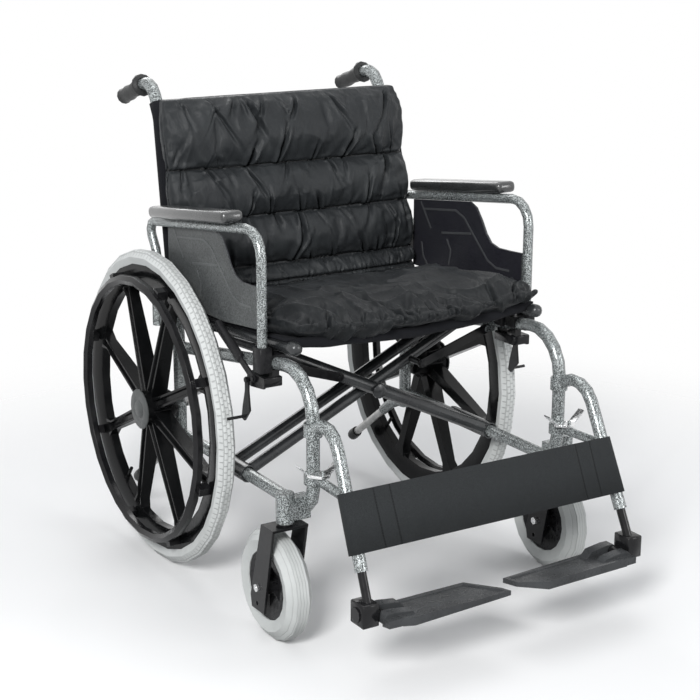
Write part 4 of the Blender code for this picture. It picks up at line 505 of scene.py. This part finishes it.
def shade_group():
    """Smooth shading except over sharp edges."""
    group = bpy.data.node_groups.new("smooth over small angles", "GeometryNodeTree")
    group.interface.new_socket("Geometry", in_out="INPUT", socket_type="NodeSocketGeometry")
    group.interface.new_socket("Geometry", in_out="OUTPUT", socket_type="NodeSocketGeometry")
    group.is_modifier = True
    make = group.nodes.new
    source = make("NodeGroupInput")
    target = make("NodeGroupOutput")
    merge = make("GeometryNodeMergeByDistance")
    merge.inputs["Distance"].default_value = MERGE
    faces = make("GeometryNodeSetShadeSmooth")
    faces.domain = "FACE"
    edges = make("GeometryNodeSetShadeSmooth")
    edges.domain = "EDGE"
    edges.inputs["Shade Smooth"].default_value = False
    angle = make("GeometryNodeInputMeshEdgeAngle")
    compare = make("FunctionNodeCompare")
    compare.data_type = "FLOAT"
    compare.operation = "GREATER_THAN"
    compare.inputs["B"].default_value = SHARP_ANGLE
    join = group.links.new
    join(source.outputs[0], merge.inputs["Geometry"])
    join(merge.outputs[0], faces.inputs["Geometry"])
    join(faces.outputs[0], edges.inputs["Geometry"])
    join(angle.outputs["Unsigned Angle"], compare.inputs["A"])
    join(compare.outputs["Result"], edges.inputs["Selection"])
    join(edges.outputs[0], target.inputs[0])
    return group


smoothing = shade_group()
for name, node in nodes.items():
    if name in SOFT:
        continue
    stem = name.replace("_right", "").replace("_left", "")
    sign = -1 if name.endswith("right") else 1
    if stem == "rear_tyre":
        centre = (sign * AXLE.x, AXLE.y, AXLE.z)
        side = name.removeprefix("rear_tyre_")
        material = tread_rubber("tyre rubber " + side, centre, (0.70, 0.72, 0.71))
    elif stem == "caster_tyre":
        centre = (sign * CASTER_AXLE.x, CASTER_AXLE.y, CASTER_AXLE.z)
        side = name.removeprefix("caster_tyre_")
        material = caster_rubber("caster rubber " + side, centre, (0.60, 0.62, 0.61))
    else:
        material = COATS[stem]
    for slot in node.material_slots:
        slot.material = material
    node.modifiers.new("shading", "NODES").node_group = smoothing


# Soft goods
CLOTH_FRAMES = 20
VOXEL = 0.0065


def piece(name, mesh, material):
    shape = bmesh.new()
    shape.from_mesh(mesh)
    bmesh.ops.remove_doubles(shape, verts=shape.verts, dist=MERGE)
    shape.to_mesh(mesh)
    shape.free()
    thing = bpy.data.objects.new(name, mesh)
    bpy.context.scene.collection.objects.link(thing)
    mesh.materials.clear()
    mesh.materials.append(material)
    for face in mesh.polygons:
        face.use_smooth = True
    return thing


def apply_modifiers(thing):
    """Makes the piece's modifiers part of its mesh."""
    bpy.context.view_layer.update()
    graph = bpy.context.evaluated_depsgraph_get()
    mesh = bpy.data.meshes.new_from_object(thing.evaluated_get(graph))
    old = thing.data
    thing.modifiers.clear()
    thing.data = mesh
    if old.users == 0:
        bpy.data.meshes.remove(old)


def points_of(mesh):
    flat = np.empty(len(mesh.vertices) * 3, np.float32)
    mesh.vertices.foreach_get("co", flat)
    return flat.reshape(-1, 3).astype(float)


def set_points(mesh, points):
    mesh.vertices.foreach_set("co", points.astype(np.float32).ravel())
    mesh.update()


def remesh(thing):
    change = thing.modifiers.new("cells", "REMESH")
    change.mode = "VOXEL"
    change.voxel_size = VOXEL
    change.use_smooth_shade = True
    apply_modifiers(thing)


def blow_up(thing, pin, pressure, growth, cap):
    """Fills a cushion with air, moving no point further than cap.

    pin(points) gives how firmly each point is held, from 0 to 1, and growth is the share that
    the cloth grows by.
    """
    before = points_of(thing.data)
    group = thing.vertex_groups.new(name="held")
    for index, weight in enumerate(pin(before)):
        group.add([index], float(weight), "REPLACE")
    cloth = thing.modifiers.new("cloth", "CLOTH")
    how = cloth.settings
    how.quality = 6
    how.mass = 0.25
    how.tension_stiffness = 12
    how.compression_stiffness = 12
    how.shear_stiffness = 4
    how.bending_stiffness = 0.08
    how.air_damping = 2.0
    how.use_pressure = True
    how.uniform_pressure_force = pressure
    how.shrink_min = -growth
    how.shrink_max = -growth
    how.vertex_group_mass = "held"
    how.pin_stiffness = 1.0
    how.effector_weights.gravity = 0
    cloth.collision_settings.use_collision = False
    cloth.collision_settings.use_self_collision = False
    cloth.point_cache.frame_start = 1
    cloth.point_cache.frame_end = CLOTH_FRAMES
    scene = bpy.context.scene
    for number in range(1, CLOTH_FRAMES + 1):
        scene.frame_set(number)
    apply_modifiers(thing)
    scene.frame_set(1)
    after = points_of(thing.data)
    move = after - before
    length = np.linalg.norm(move, axis=1, keepdims=True)
    shorten = np.minimum(1.0, cap / np.maximum(length, 1e-9))
    set_points(thing.data, before + move * shorten)
    thing.vertex_groups.clear()


def relax(mesh, rounds, share):
    """Evens out the surface by drawing each point toward its neighbours."""
    points = points_of(mesh)
    ends = np.empty(len(mesh.edges) * 2, np.int32)
    mesh.edges.foreach_get("vertices", ends)
    a, b = ends[::2], ends[1::2]
    count = np.bincount(ends, minlength=len(points)).reshape(-1, 1)
    for _ in range(rounds):
        total = np.zeros_like(points)
        np.add.at(total, a, points[b])
        np.add.at(total, b, points[a])
        points += (total / np.maximum(count, 1) - points) * share
    set_points(mesh, points)


def subdivide(thing):
    change = thing.modifiers.new("finer", "SUBSURF")
    change.levels = 2
    change.render_levels = 2
    apply_modifiers(thing)
    for face in thing.data.polygons:
        face.use_smooth = True


def fill(thing, pin, pressure, growth, cap, rounds=0):
    remesh(thing)
    relax(thing.data, rounds, 0.5)
    blow_up(thing, pin, pressure, growth, cap)
    relax(thing.data, 1, 0.4)
    subdivide(thing)


def crumple(thing, height_of):
    """Moves each point along its normal by height_of(points, normals)."""
    mesh = thing.data
    points = points_of(mesh)
    normals = np.empty(len(points) * 3, np.float32)
    mesh.vertices.foreach_get("normal", normals)
    normals = normals.reshape(-1, 3).astype(float)
    points += normals * height_of(points, normals)[:, None]
    set_points(mesh, points)


def noisy(points, scale, seed):
    """Smooth noise at each point, from -1 to 1."""
    offset = Vector((seed, seed * 0.7, seed * 1.3))
    return np.array([noise.noise(Vector(point * scale) + offset) for point in points])


def blend_in(values, low, high):
    """Rises smoothly from 0 at low to 1 at high."""
    share = np.clip((values - low) / (high - low), 0, 1)
    return share * share * (3 - 2 * share)


def darts(draw, low, high, spacing, length, slant, depth, width):
    """Folds that start on a seam from low to high.

    Each has its place along the seam, length, slant, depth and half width, drawn about the
    values given.
    """
    rows = []
    place = low
    while place < high:
        rows.append(
            (
                place,
                draw.uniform(0.45, 1.25) * length,
                draw.uniform(-1, 1) * slant,
                draw.uniform(0.15, 1.25) ** 1.6 * depth,
                draw.uniform(0.6, 1.6) * width,
            )
        )
        place += draw.uniform(0.35, 1.9) * spacing
    return rows


def wrinkles(points, stretch, seed):
    """Sharp crests from 0 to 1 in cloth, at points stretched along each axis."""
    drift = np.stack([noisy(points, 7, seed + k) for k in range(3)], axis=1) * 0.035
    values = noisy((points + drift) * np.array(stretch), 1.0, seed + 5.0)
    return np.clip(1 - np.abs(values) * 2, 0, 1) ** 3


def pinched(rows, along, away):
    """Height of the folds at points that lie along the seam and away from it."""
    height = np.zeros(len(along))
    for place, length, slant, depth, width in rows:
        share = np.clip(away / length, 0, 1)
        u = (along - place - slant * away) / (width * (0.55 + 0.9 * share))
        height -= depth * (1 - share) ** 1.4 * (away >= 0) * (1 - u * u) * np.exp(-u * u / 2)
    return height


SEAT_LOW, SEAT_HIGH = (Vector(corner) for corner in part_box("seat_cushion"))
SEAT_MIDDLE = (SEAT_LOW + SEAT_HIGH) / 2
SEAT_HALF = (SEAT_HIGH - SEAT_LOW) / 2
# Height, stretch along each axis, and seed of the seat's two layers of wrinkles
SEAT_WRINKLES = ((0.0080, (19, 8, 8), 3.0), (0.0060, (9, 18, 9), 8.0))
# How firmly a cushion's rim is held while it is filled
RIM_HOLD = 0.9


def seat_pins(points):
    u = (points[:, 0] - SEAT_MIDDLE.x) / SEAT_HALF.x
    v = (points[:, 1] - SEAT_MIDDLE.y) / SEAT_HALF.y
    return (np.maximum(np.abs(u), np.abs(v)) > 0.975) * RIM_HOLD


def bend_with_braces(thing):
    """Bakes the piece's placement into its mesh."""
    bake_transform(thing)


def make_seat():
    """Seat cushion, with folds that run in from its front and its sides."""
    thing = piece("seat_cushion_cover", nodes["seat_cushion"].data.copy(), seat_nylon)
    fill(thing, seat_pins, pressure=3.0, growth=0.02, cap=0.006, rounds=6)
    draw = random.Random(41)
    short = {"spacing": 0.019, "length": 0.100, "slant": 1.2, "depth": 0.0092, "width": 0.0042}
    long = {"spacing": 0.050, "length": 0.210, "slant": 0.9, "depth": 0.0095, "width": 0.0075}
    side = {"spacing": 0.028, "length": 0.070, "slant": 0.6, "depth": 0.0036, "width": 0.0060}
    front = darts(draw, SEAT_LOW.x + 0.01, SEAT_HIGH.x, **short)
    long_front = darts(draw, SEAT_LOW.x + 0.03, SEAT_HIGH.x, **long)
    sides = [darts(draw, SEAT_LOW.y, SEAT_HIGH.y, **side) for _ in SIDES]

    def fold(points, normals):
        x, y, z = points.T
        from_front = y - SEAT_LOW.y + 0.5 * np.clip(z - SEAT_LOW.z - 0.01, 0, 0.04)
        height = pinched(front, x, from_front) + pinched(long_front, x, from_front)
        for sign, rows in zip(SIDES, sides):
            height += pinched(rows, y, SEAT_HIGH.x - sign * x)
        height *= blend_in(normals[:, 2], -0.45, 0.1)
        # The wrinkles are deeper toward the front, and the top is lowered to make room for them.
        near = 0.45 + 0.55 * blend_in(-y, -SEAT_LOW.y - 0.22, -SEAT_LOW.y - 0.03)
        for tall, stretch, seed in SEAT_WRINKLES:
            height += tall * near * wrinkles(points, stretch, seed)
        height += 0.0026 * noisy(points, 10, 2.0)
        return height - 0.0070 * blend_in(normals[:, 2], 0.3, 0.9)

    crumple(thing, fold)
    # The front's lower edge is drawn up.
    points = points_of(thing.data)
    near = blend_in(-points[:, 1], -SEAT_LOW.y - 0.040, -SEAT_LOW.y - 0.004)
    low = blend_in(-points[:, 2], -SEAT_LOW.z - 0.030, -SEAT_LOW.z - 0.008)
    points[:, 2] += 0.007 * near * low
    set_points(thing.data, points)
    bend_with_braces(thing)
    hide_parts("seat_cushion")


BACK_LOW, BACK_HIGH = (Vector(corner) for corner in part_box("back_cushion"))
BACK_LINES = (BACK_LOW.z, *BACK_SEAMS, BACK_HIGH.z)
BACK_CELLS = tuple(zip(BACK_LINES, BACK_LINES[1:]))
# The back posts lean back by this slope above this height.
POST_SLOPE = 0.1975
POST_KNEE_Z = 0.450
# The back cushion lies against sleeves of this radius round the posts.
SLEEVE_R = 0.0152
# Distance of the middle of the cushion's thickness in front of the sleeves
BACK_DEPTH = 0.020


def back_middle(z):
    """y of the middle of the back cushion's thickness at heights z."""
    return SHIFT_Y + POST_SLOPE * np.maximum(0.0, z - POST_KNEE_Z) - SLEEVE_R - BACK_DEPTH


def back_pins(points):
    held = np.zeros(len(points))
    for seam in BACK_SEAMS:
        held = np.maximum(held, (np.abs(points[:, 2] - seam) < 0.005) * 1.0)
    behind = points[:, 1] - back_middle(points[:, 2])
    held = np.maximum(held, (behind > 0.012) * 0.85)
    rim = np.abs(points[:, 0]) / BACK_HIGH.x
    held = np.maximum(held, (rim > 0.985) * RIM_HOLD)
    held = np.maximum(held, (points[:, 2] > BACK_HIGH.z - 0.006) * RIM_HOLD)
    return np.maximum(held, (points[:, 2] < BACK_LOW.z + 0.006) * RIM_HOLD)


def narrow_with_fold(thing, body):
    """Rides on a body of the right side, with a mesh of its own."""
    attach(thing, body)
    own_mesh(thing)


def make_back():
    """Back cushion, with folds that run in from its seams; returns its points."""
    thing = piece("back_cushion_cover", nodes["back_cushion"].data.copy(), back_nylon)
    fill(thing, back_pins, pressure=4.0, growth=0.06, cap=0.014)
    draw = random.Random(17)
    half = BACK_HIGH.x
    rows = []
    for foot, top in BACK_CELLS:
        tall = top - foot
        small = tall < 0.05
        spacing, reach = (0.011, tall * 0.9) if small else (0.044, tall * 0.80)
        # Slant, depth and half width
        kind = (0.5, 0.0050, 0.0028) if small else (0.6, 0.0130, 0.0050)
        rows.append((foot, top, foot, 1, darts(draw, -half, half, spacing, reach, *kind)))
        rows.append((foot, top, top, -1, darts(draw, -half, half, spacing * 1.2, reach, *kind)))
    low, high = BACK_LOW.z, BACK_HIGH.z
    end = {"spacing": 0.045, "length": 0.050, "slant": 0.5, "depth": 0.0020, "width": 0.0070}
    ends = [darts(draw, low, high, **end) for _ in SIDES]

    def fold(points, normals):
        x, y, z = points.T
        height = np.zeros(len(points))
        for foot, top, line, way, folds in rows:
            inside = (z >= foot) & (z < top)
            height[inside] += pinched(folds, x[inside], (z[inside] - line) * way)
        for sign, folds in zip(SIDES, ends):
            height += pinched(folds, z, half - sign * x)
        # The folds fade out before they reach the piping.
        height *= blend_in(high - z, 0.002, 0.018) * blend_in(half - np.abs(x), 0.0, 0.012)
        height += 0.0030 * wrinkles(points, (17, 7, 6), 4.0)
        for seam in BACK_SEAMS:
            height -= 0.0050 * np.exp(-(((z - seam) / 0.0030) ** 2))
        height += 0.0026 * noisy(points, 12, 1.7) - 0.0015
        return height * blend_in(-normals[:, 1], 0.0, 0.5)

    crumple(thing, fold)
    # The sides bulge between the seams and draw in at them.
    points = points_of(thing.data)
    swell = np.zeros(len(points))
    for foot, top in BACK_CELLS:
        share = np.clip((points[:, 2] - foot) / (top - foot), 0, 1)
        swell = np.maximum(swell, np.sin(np.pi * share) ** 0.6 * (share > 0) * (share < 1))
    near = blend_in(np.abs(points[:, 0]), half - 0.035, half - 0.004)
    points[:, 0] += np.sign(points[:, 0]) * near * (0.0075 * swell - 0.0045)
    set_points(thing.data, points)
    narrow_with_fold(thing, "right_side")
    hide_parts("back_cushion")
    return points


def bar(name, route, radii, sides, material):
    """A closed bar along the route, with radii (across, up) at each of its points."""
    shape = bmesh.new()
    rings = []
    for index, (point, (wide, tall)) in enumerate(zip(route, radii)):
        before = route[max(0, index - 1)]
        after = route[min(len(route) - 1, index + 1)]
        way = (after - before).normalized()
        side = way.cross(Vector((0, 0, 1)))
        if side.length <= 0.2:
            side = way.cross(Vector((0, 1, 0)))
        side.normalize()
        rise = side.cross(way)
        ring = []
        for k in range(sides):
            turn = 2 * math.pi * k / sides
            offset = side * (wide * math.cos(turn)) + rise * (tall * math.sin(turn))
            ring.append(shape.verts.new(point + offset))
        rings.append(ring)
    for first, second in zip(rings, rings[1:]):
        for k in range(sides):
            shape.faces.new((first[k], first[(k + 1) % sides], second[(k + 1) % sides], second[k]))
    shape.faces.new(rings[0][::-1])
    shape.faces.new(rings[-1])
    bmesh.ops.recalc_face_normals(shape, faces=shape.faces)
    mesh = bpy.data.meshes.new(name)
    shape.to_mesh(mesh)
    shape.free()
    return piece(name, mesh, material)


PIPING_R = 0.0019


def make_back_piping(points):
    """Piping sewn round the back cushion's sides and top, laid on its outermost points."""
    up_and_down = []
    for sign in SIDES:
        side = []
        for z in np.arange(BACK_LOW.z + 0.006, BACK_HIGH.z - 0.008, 0.007):
            band = points[(np.abs(points[:, 2] - z) < 0.005) & (points[:, 0] * sign > 0)]
            far = band[np.argmax(band[:, 0] * sign)]
            side.append(Vector((far[0], far[1] + 0.001, z)))
        up_and_down.append(side)
    over = []
    for x in np.arange(-BACK_HIGH.x + 0.016, BACK_HIGH.x - 0.015, 0.010):
        band = points[np.abs(points[:, 0] - x) < 0.006]
        far = band[np.argmax(band[:, 2])]
        over.append(Vector((x, far[1], far[2] - 0.0010)))
    route = up_and_down[0] + over + up_and_down[1][::-1]
    for _ in range(8):
        inner = [(a + b * 2 + c) / 4 for a, b, c in zip(route, route[1:], route[2:])]
        route = [route[0], *inner, route[-1]]
    piping = bar("back_cushion_piping", route, [(PIPING_R, PIPING_R)] * len(route), 7, back_nylon)
    narrow_with_fold(piping, "right_side")


# The seat fabric's rolled hem: half width and half height, x of its ends, and its taper there
HEM_SECTION = (0.0042, 0.0098)
HEM_HALF = 0.258
HEM_TAPER = 0.030


def make_hem():
    """Rolled front edge of the seat fabric, sagging between the seat rails."""
    edge = points_of(nodes["seat_sling"].data)
    front = edge[:, 1].min()
    line = edge[edge[:, 1] < front + 0.004]
    stations = np.linspace(-HEM_HALF, HEM_HALF, 41)
    order = np.argsort(line[:, 0])
    level = np.interp(stations, line[order, 0], line[order, 2])
    for _ in range(3):
        level[1:-1] = (level[:-2] + 2 * level[1:-1] + level[2:]) / 4
    route = [Vector((x, front - 0.001, z - 0.0035)) for x, z in zip(stations, level)]
    radii = []
    for x in stations:
        share = 0.45 + 0.55 * min(1.0, (HEM_HALF + 0.004 - abs(x)) / HEM_TAPER)
        radii.append(tuple(half * share for half in HEM_SECTION))
    hem = bar("seat_sling_hem", route, radii, 12, sling_web)
    bend_with_braces(hem)


def make_slings():
    """The seat and back fabric and the calf strap."""
    seat = piece("seat_sling_cloth", nodes["seat_sling"].data.copy(), sling_web)
    seat.modifiers.new("edge", "BEVEL").width = 0.001
    apply_modifiers(seat)
    bend_with_braces(seat)
    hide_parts("seat_sling")
    back = piece("back_sling_cloth", nodes["back_sling"].data.copy(), sling_web)
    narrow_with_fold(back, "right_side")
    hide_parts("back_sling")
    strap = piece("calf_strap_cloth", nodes["calf_strap"].data.copy(), strap_web)
    narrow_with_fold(strap, "legrest_right")
    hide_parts("calf_strap")


make_seat()
make_back_piping(make_back())
make_slings()
make_hem()


# Floor, lights and camera
def seen_directly(tree):
    """1 for rays from the camera, off a gloss or through glass, and 0 for light."""
    path = tree.nodes.new("ShaderNodeLightPath")
    share = path.outputs["Is Camera Ray"]
    for name in ("Is Glossy Ray", "Is Transmission Ray"):
        either = tree.nodes.new("ShaderNodeMath")
        either.operation = "MAXIMUM"
        tree.links.new(share, either.inputs[0])
        tree.links.new(path.outputs[name], either.inputs[1])
        share = either.outputs[0]
    return share


def grey(level):
    return (level, level, level, 1)


# The floor's half width and height, and the distances between which it fades out
FLOOR_HALF = 14
FLOOR_Z = -0.0005
FLOOR_FADE = (0.75, 1.7)


def make_floor():
    """A pale floor that fades out round the object and gives little light back to it."""
    shape = bmesh.new()
    bmesh.ops.create_grid(shape, x_segments=1, y_segments=1, size=FLOOR_HALF)
    mesh = bpy.data.meshes.new("floor")
    shape.to_mesh(mesh)
    shape.free()
    floor = bpy.data.objects.new("floor", mesh)
    floor.location = (0, 0, FLOOR_Z)
    bpy.context.scene.collection.objects.link(floor)
    material = bpy.data.materials.new("pale floor")
    material.use_nodes = True
    tree = material.node_tree
    shader = tree.nodes["Principled BSDF"]
    shader.inputs["Roughness"].default_value = 0.9
    shader.inputs["Specular IOR Level"].default_value = 0.1
    tone = tree.nodes.new("ShaderNodeMix")
    tone.data_type = "RGBA"
    tone.inputs["A"].default_value = grey(0.40)
    tone.inputs["B"].default_value = grey(0.93)
    tree.links.new(seen_directly(tree), tone.inputs["Factor"])
    tree.links.new(tone.outputs["Result"], shader.inputs["Base Color"])
    place = tree.nodes.new("ShaderNodeTexCoord")
    away = tree.nodes.new("ShaderNodeVectorMath")
    away.operation = "LENGTH"
    fade = tree.nodes.new("ShaderNodeMapRange")
    fade.interpolation_type = "SMOOTHSTEP"
    for name, distance in zip(("From Min", "From Max"), FLOOR_FADE):
        fade.inputs[name].default_value = distance
    clear = tree.nodes.new("ShaderNodeBsdfTransparent")
    blend = tree.nodes.new("ShaderNodeMixShader")
    tree.links.new(place.outputs["Object"], away.inputs[0])
    tree.links.new(away.outputs["Value"], fade.inputs["Value"])
    tree.links.new(fade.outputs["Result"], blend.inputs[0])
    tree.links.new(shader.outputs[0], blend.inputs[1])
    tree.links.new(clear.outputs[0], blend.inputs[2])
    tree.links.new(blend.outputs[0], tree.nodes["Material Output"].inputs["Surface"])
    mesh.materials.append(material)


def make_world():
    """White where it is seen directly, and a dimmer, slightly blue light on the object."""
    world = bpy.data.worlds.new("studio")
    bpy.context.scene.world = world
    world.use_nodes = True
    tree = world.node_tree
    tree.nodes.clear()
    out = tree.nodes.new("ShaderNodeOutputWorld")
    seen = tree.nodes.new("ShaderNodeBackground")
    seen.inputs["Color"].default_value = grey(1.0)
    seen.inputs["Strength"].default_value = 1.0
    lit = tree.nodes.new("ShaderNodeBackground")
    lit.inputs["Color"].default_value = (0.93, 0.96, 1.0, 1)
    lit.inputs["Strength"].default_value = 0.40
    mix = tree.nodes.new("ShaderNodeMixShader")
    tree.links.new(seen_directly(tree), mix.inputs[0])
    tree.links.new(lit.outputs[0], mix.inputs[1])
    tree.links.new(seen.outputs[0], mix.inputs[2])
    tree.links.new(mix.outputs[0], out.inputs["Surface"])


# Name, place, size in metres and power in watts of each lamp
LAMPS = (
    ("key", (-2.7, -2.6, 2.6), 1.1, 150),
    ("fill", (2.2, -3.2, 1.6), 1.2, 34),
    ("top", (0.2, 0.4, 3.6), 2.0, 18),
    ("back", (0.6, 3.2, 2.4), 1.6, 30),
)
LAMP_TARGET = Vector((0, 0, 0.45))


def make_lamps():
    for name, place, size, power in LAMPS:
        light = bpy.data.lights.new(name, "AREA")
        light.shape = "SQUARE"
        light.size = size
        light.energy = power
        lamp = bpy.data.objects.new(name, light)
        lamp.location = place
        aim = LAMP_TARGET - Vector(place)
        lamp.rotation_mode = "QUATERNION"
        lamp.rotation_quaternion = aim.to_track_quat("-Z", "Y")
        bpy.context.scene.collection.objects.link(lamp)


# The camera fitted to the photograph: side of the picture, focal length and shift in pixels
PICTURE = 700
FOCAL = 1620
SHIFT_PX = (2.0, -0.9)
SENSOR_MM = 36
CAMERA_PLACE = (-1.5753, -2.7401 + SHIFT_Y, 1.2475)
# Azimuth from the front, elevation and roll in degrees
CAMERA_TURN = (-31.758, 15.441, 0.153)


def make_camera():
    """The photograph's camera."""
    azimuth, elevation, roll = (math.radians(angle) for angle in CAMERA_TURN)
    back = Vector(
        (
            math.sin(azimuth) * math.cos(elevation),
            -math.cos(azimuth) * math.cos(elevation),
            math.sin(elevation),
        )
    )
    right = (-back).cross(Vector((0, 0, 1))).normalized()
    up = right.cross(-back)
    turned_right = right * math.cos(roll) + up * math.sin(roll)
    turned_up = up * math.cos(roll) - right * math.sin(roll)
    data = bpy.data.cameras.new("camera")
    data.sensor_width = SENSOR_MM
    data.lens = FOCAL * SENSOR_MM / PICTURE
    data.shift_x, data.shift_y = (pixels / PICTURE for pixels in SHIFT_PX)
    data.clip_start = 0.05
    data.clip_end = 60
    camera = bpy.data.objects.new("camera", data)
    turn = Matrix((turned_right, turned_up, back)).transposed().to_4x4()
    camera.matrix_world = Matrix.Translation(CAMERA_PLACE) @ turn
    bpy.context.scene.collection.objects.link(camera)
    bpy.context.scene.camera = camera


make_floor()
make_world()
make_lamps()
make_camera()
bpy.context.scene.view_settings.view_transform = "Standard"
bpy.context.scene.view_settings.look = "None"
